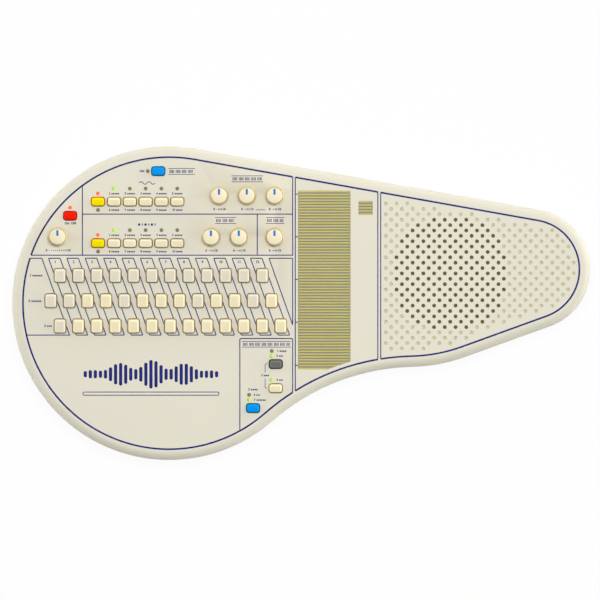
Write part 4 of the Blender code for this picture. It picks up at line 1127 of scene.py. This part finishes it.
def bay(margin):
    return rectangle(
        BAY_X - BAY_HALF_WIDTH - margin, BAY_X + BAY_HALF_WIDTH + margin, -BAY_HALF_LENGTH - margin,
        BAY_HALF_LENGTH + margin)


lower = bmesh.new()
outer = [(WALL, SEAM_LOW), (SKIN + 0.5, SEAM_LOW), (SKIN, SEAM_LOW - 0.35)]
for step in range(9):
    turn = math.pi / 2 * step / 8
    outer.append((SKIN + 5.0 * (1 - math.cos(turn)), BASE_Z + 5.0 * (1 - math.sin(turn))))
outer.append((6.0, BASE_Z))
underside = shell(lower, outer)
tray = shell(lower, [(WALL, SEAM_LOW), (WALL, FLOOR_Z)])
mouths, floor_holes = [], []
for spot in screw_spots():
    outlines = [circle(spot, radius, 20) for radius in (2.8, 2.6, 2.6)]
    mouths.append(pocket(lower, outlines, (BASE_Z, BASE_Z + 0.2, BASE_Z + 9.0)))
    floor_holes.append(pocket(lower, [circle(spot, 4.0, 20)] * 2, (FLOOR_Z, SEAM_LOW)))
for spot in FOOT_SPOTS:
    outlines = [circle(spot, radius, 40) for radius in (9.4, 9.0, 8.9, 8.5)]
    mouths.append(pocket(lower, outlines, (BASE_Z, BASE_Z - 0.3, 0.7, 0.4)))
outlines = [bay(margin) for margin in (3.3, 3.3, 0.0, 0.0)]
mouths.append(pocket(lower, outlines, (BASE_Z, FLOOR_Z, FLOOR_Z, FLOOR_Z + 15.8)))
outlines = [bay(margin) for margin in (5.3, 5.3, 2.0, 2.0)]
floor_holes.append(pocket(lower, outlines, (FLOOR_Z, FLOOR_Z + 2.0, FLOOR_Z + 2.0, FLOOR_Z + 17.8)))
level(lower, [underside] + mouths)
level(lower, [tray] + floor_holes)
bmesh.ops.remove_doubles(lower, verts=lower.verts, dist=0.001 * MM)
piece("lower_case", lower, ivory, "case", ["bottom_case"], turn=32.0)


# Battery contacts. Bent nickel-plated steel for six cells that lie side by side in the bay: a coiled
# spring at one end of each cell and a plate with a raised button at the other, turn and turn about,
# and low ribs in the ivory plastic that keep the cells apart.
CELL_PITCH, CELL_AXIS_Z, CELL_COUNT = 15.1, FLOOR_Z + 8.2, 6


def spring(bm, wall, way):
    """A tapering coil of wire that stands off a wall along the Y axis, built round the Z axis."""
    wire, turns, steps = 0.42, 4.0, 18
    rings = []
    for i in range(int(turns * steps) + 1):
        share = i / (turns * steps)
        turn = math.tau * turns * share
        reach = 4.4 - 1.9 * share
        around = []
        for side in range(6):
            swing = math.tau * side / 6
            out = reach + wire * math.cos(swing)
            height = wall + way * (0.8 + 5.6 * share + wire * math.sin(swing))
            around.append(bm.verts.new((out * math.cos(turn) * MM, out * math.sin(turn) * MM, height * MM)))
        rings.append(around)
    bands(bm, rings)
    bm.faces.new(rings[0])
    bm.faces.new(rings[-1])


contacts = bmesh.new()
button = [(3.2, 0.45), (2.9, 1.0), (2.2, 1.3), (1.0, 1.4)]
for cell in range(CELL_COUNT):
    way = 1 if cell % 2 else -1
    single = bmesh.new()
    for wall in (-BAY_HALF_LENGTH * way, BAY_HALF_LENGTH * way):
        inward = -1 if wall > 0 else 1
        slab(single, rounded((0.0, 0.0), 12.0, 11.0, 1.0), wall + inward * 0.02, wall + inward * 0.5)
    spring(single, -BAY_HALF_LENGTH * way, way)
    drum(single, (0.0, 0.0), [(radius, (BAY_HALF_LENGTH - rise) * way) for radius, rise in button], 24)
    lay_along_y(single, BAY_X + (cell - 2.5) * CELL_PITCH, CELL_AXIS_Z)
    contacts.from_mesh(mesh_from("contact", single))
piece("battery_contacts", contacts, nickel, "case", (), turn=40.0)
ribs = bmesh.new()
for gap in range(CELL_COUNT - 1):
    rib_x = BAY_X + (gap - 2) * CELL_PITCH
    outlines = [rectangle(rib_x - half, rib_x + half, -27.9, 27.9) for half in (0.8, 0.5)]
    stack(ribs, outlines, [FLOOR_Z + 15.9, FLOOR_Z + 12.2])
piece("bay_ribs", ribs, ivory, "case", ())


# Foot pads and case screws. Black rubber discs glued into the feet, and seven cross-head screws
# sunk in their recesses.
pads = bmesh.new()
for spot in FOOT_SPOTS:
    drum(pads, spot, [(7.8, 1.0), (7.8, 0.25), (7.5, 0.0)], 36)
pad_rubber = moulded("pad_rubber", shade(46, 45, 43), 0.85, grain=0.8, depth=0.06, mottle=0.15)
piece("foot_pads", pads, pad_rubber, "case", ())
screws = bmesh.new()
for spot in screw_spots():
    drum(screws, spot, [(1.6, 8.6), (2.2, 8.9), (2.4, 9.6), (2.4, 11.4)], 24)
screw_heads = piece("case_screws", screws, nickel, "case", (), turn=40.0)
crosses = bmesh.new()
corners = [(-1.25, -0.32), (-0.32, -0.32), (-0.32, -1.25)]
for _ in range(3):
    corners += [(-b, a) for a, b in corners[-3:]]
for x, y in screw_spots():
    slab(crosses, [(x + a, y + b) for a, b in corners], 8.0, 9.7)
carve(screw_heads, crosses)


# Battery door. A flat ivory cover over the bay that turns about its far edge, with a stiffening rib
# inside and a grip of five short grooves outside.
door = bmesh.new()
DOOR_LEFT, DOOR_RIGHT, DOOR_NEAR, DOOR_FAR = -181.5, -84.5, -31.0, 31.0


def door_outline(margin):
    return rectangle(DOOR_LEFT + margin, DOOR_RIGHT - margin, DOOR_NEAR + margin, DOOR_FAR - margin)


outside = bands(door, [ring(door, door_outline(i), z) for i, z in ((0.0, 4.7), (0.0, 2.7), (0.2, 2.5))])
inside_edge = ring(door, door_outline(0.0), 4.7)
grips = []
for i in range(5):
    grip = rounded((BAY_X, -26.9 + 1.5 * i), 18.0 - 1.2 * i, 0.8, 0.35)
    grips.append(pocket(door, [grip, grip], (2.5, 3.1)))
level(door, [outside] + grips)
rib = pocket(door, [door_outline(margin) for margin in (5.0, 5.0, 7.0, 7.0)], (4.7, 5.9, 5.9, 4.7))
level(door, [inside_edge, rib])
bmesh.ops.remove_doubles(door, verts=door.verts, dist=0.001 * MM)
piece("bay_cover", door, ivory, "battery_door", ["battery_door"])
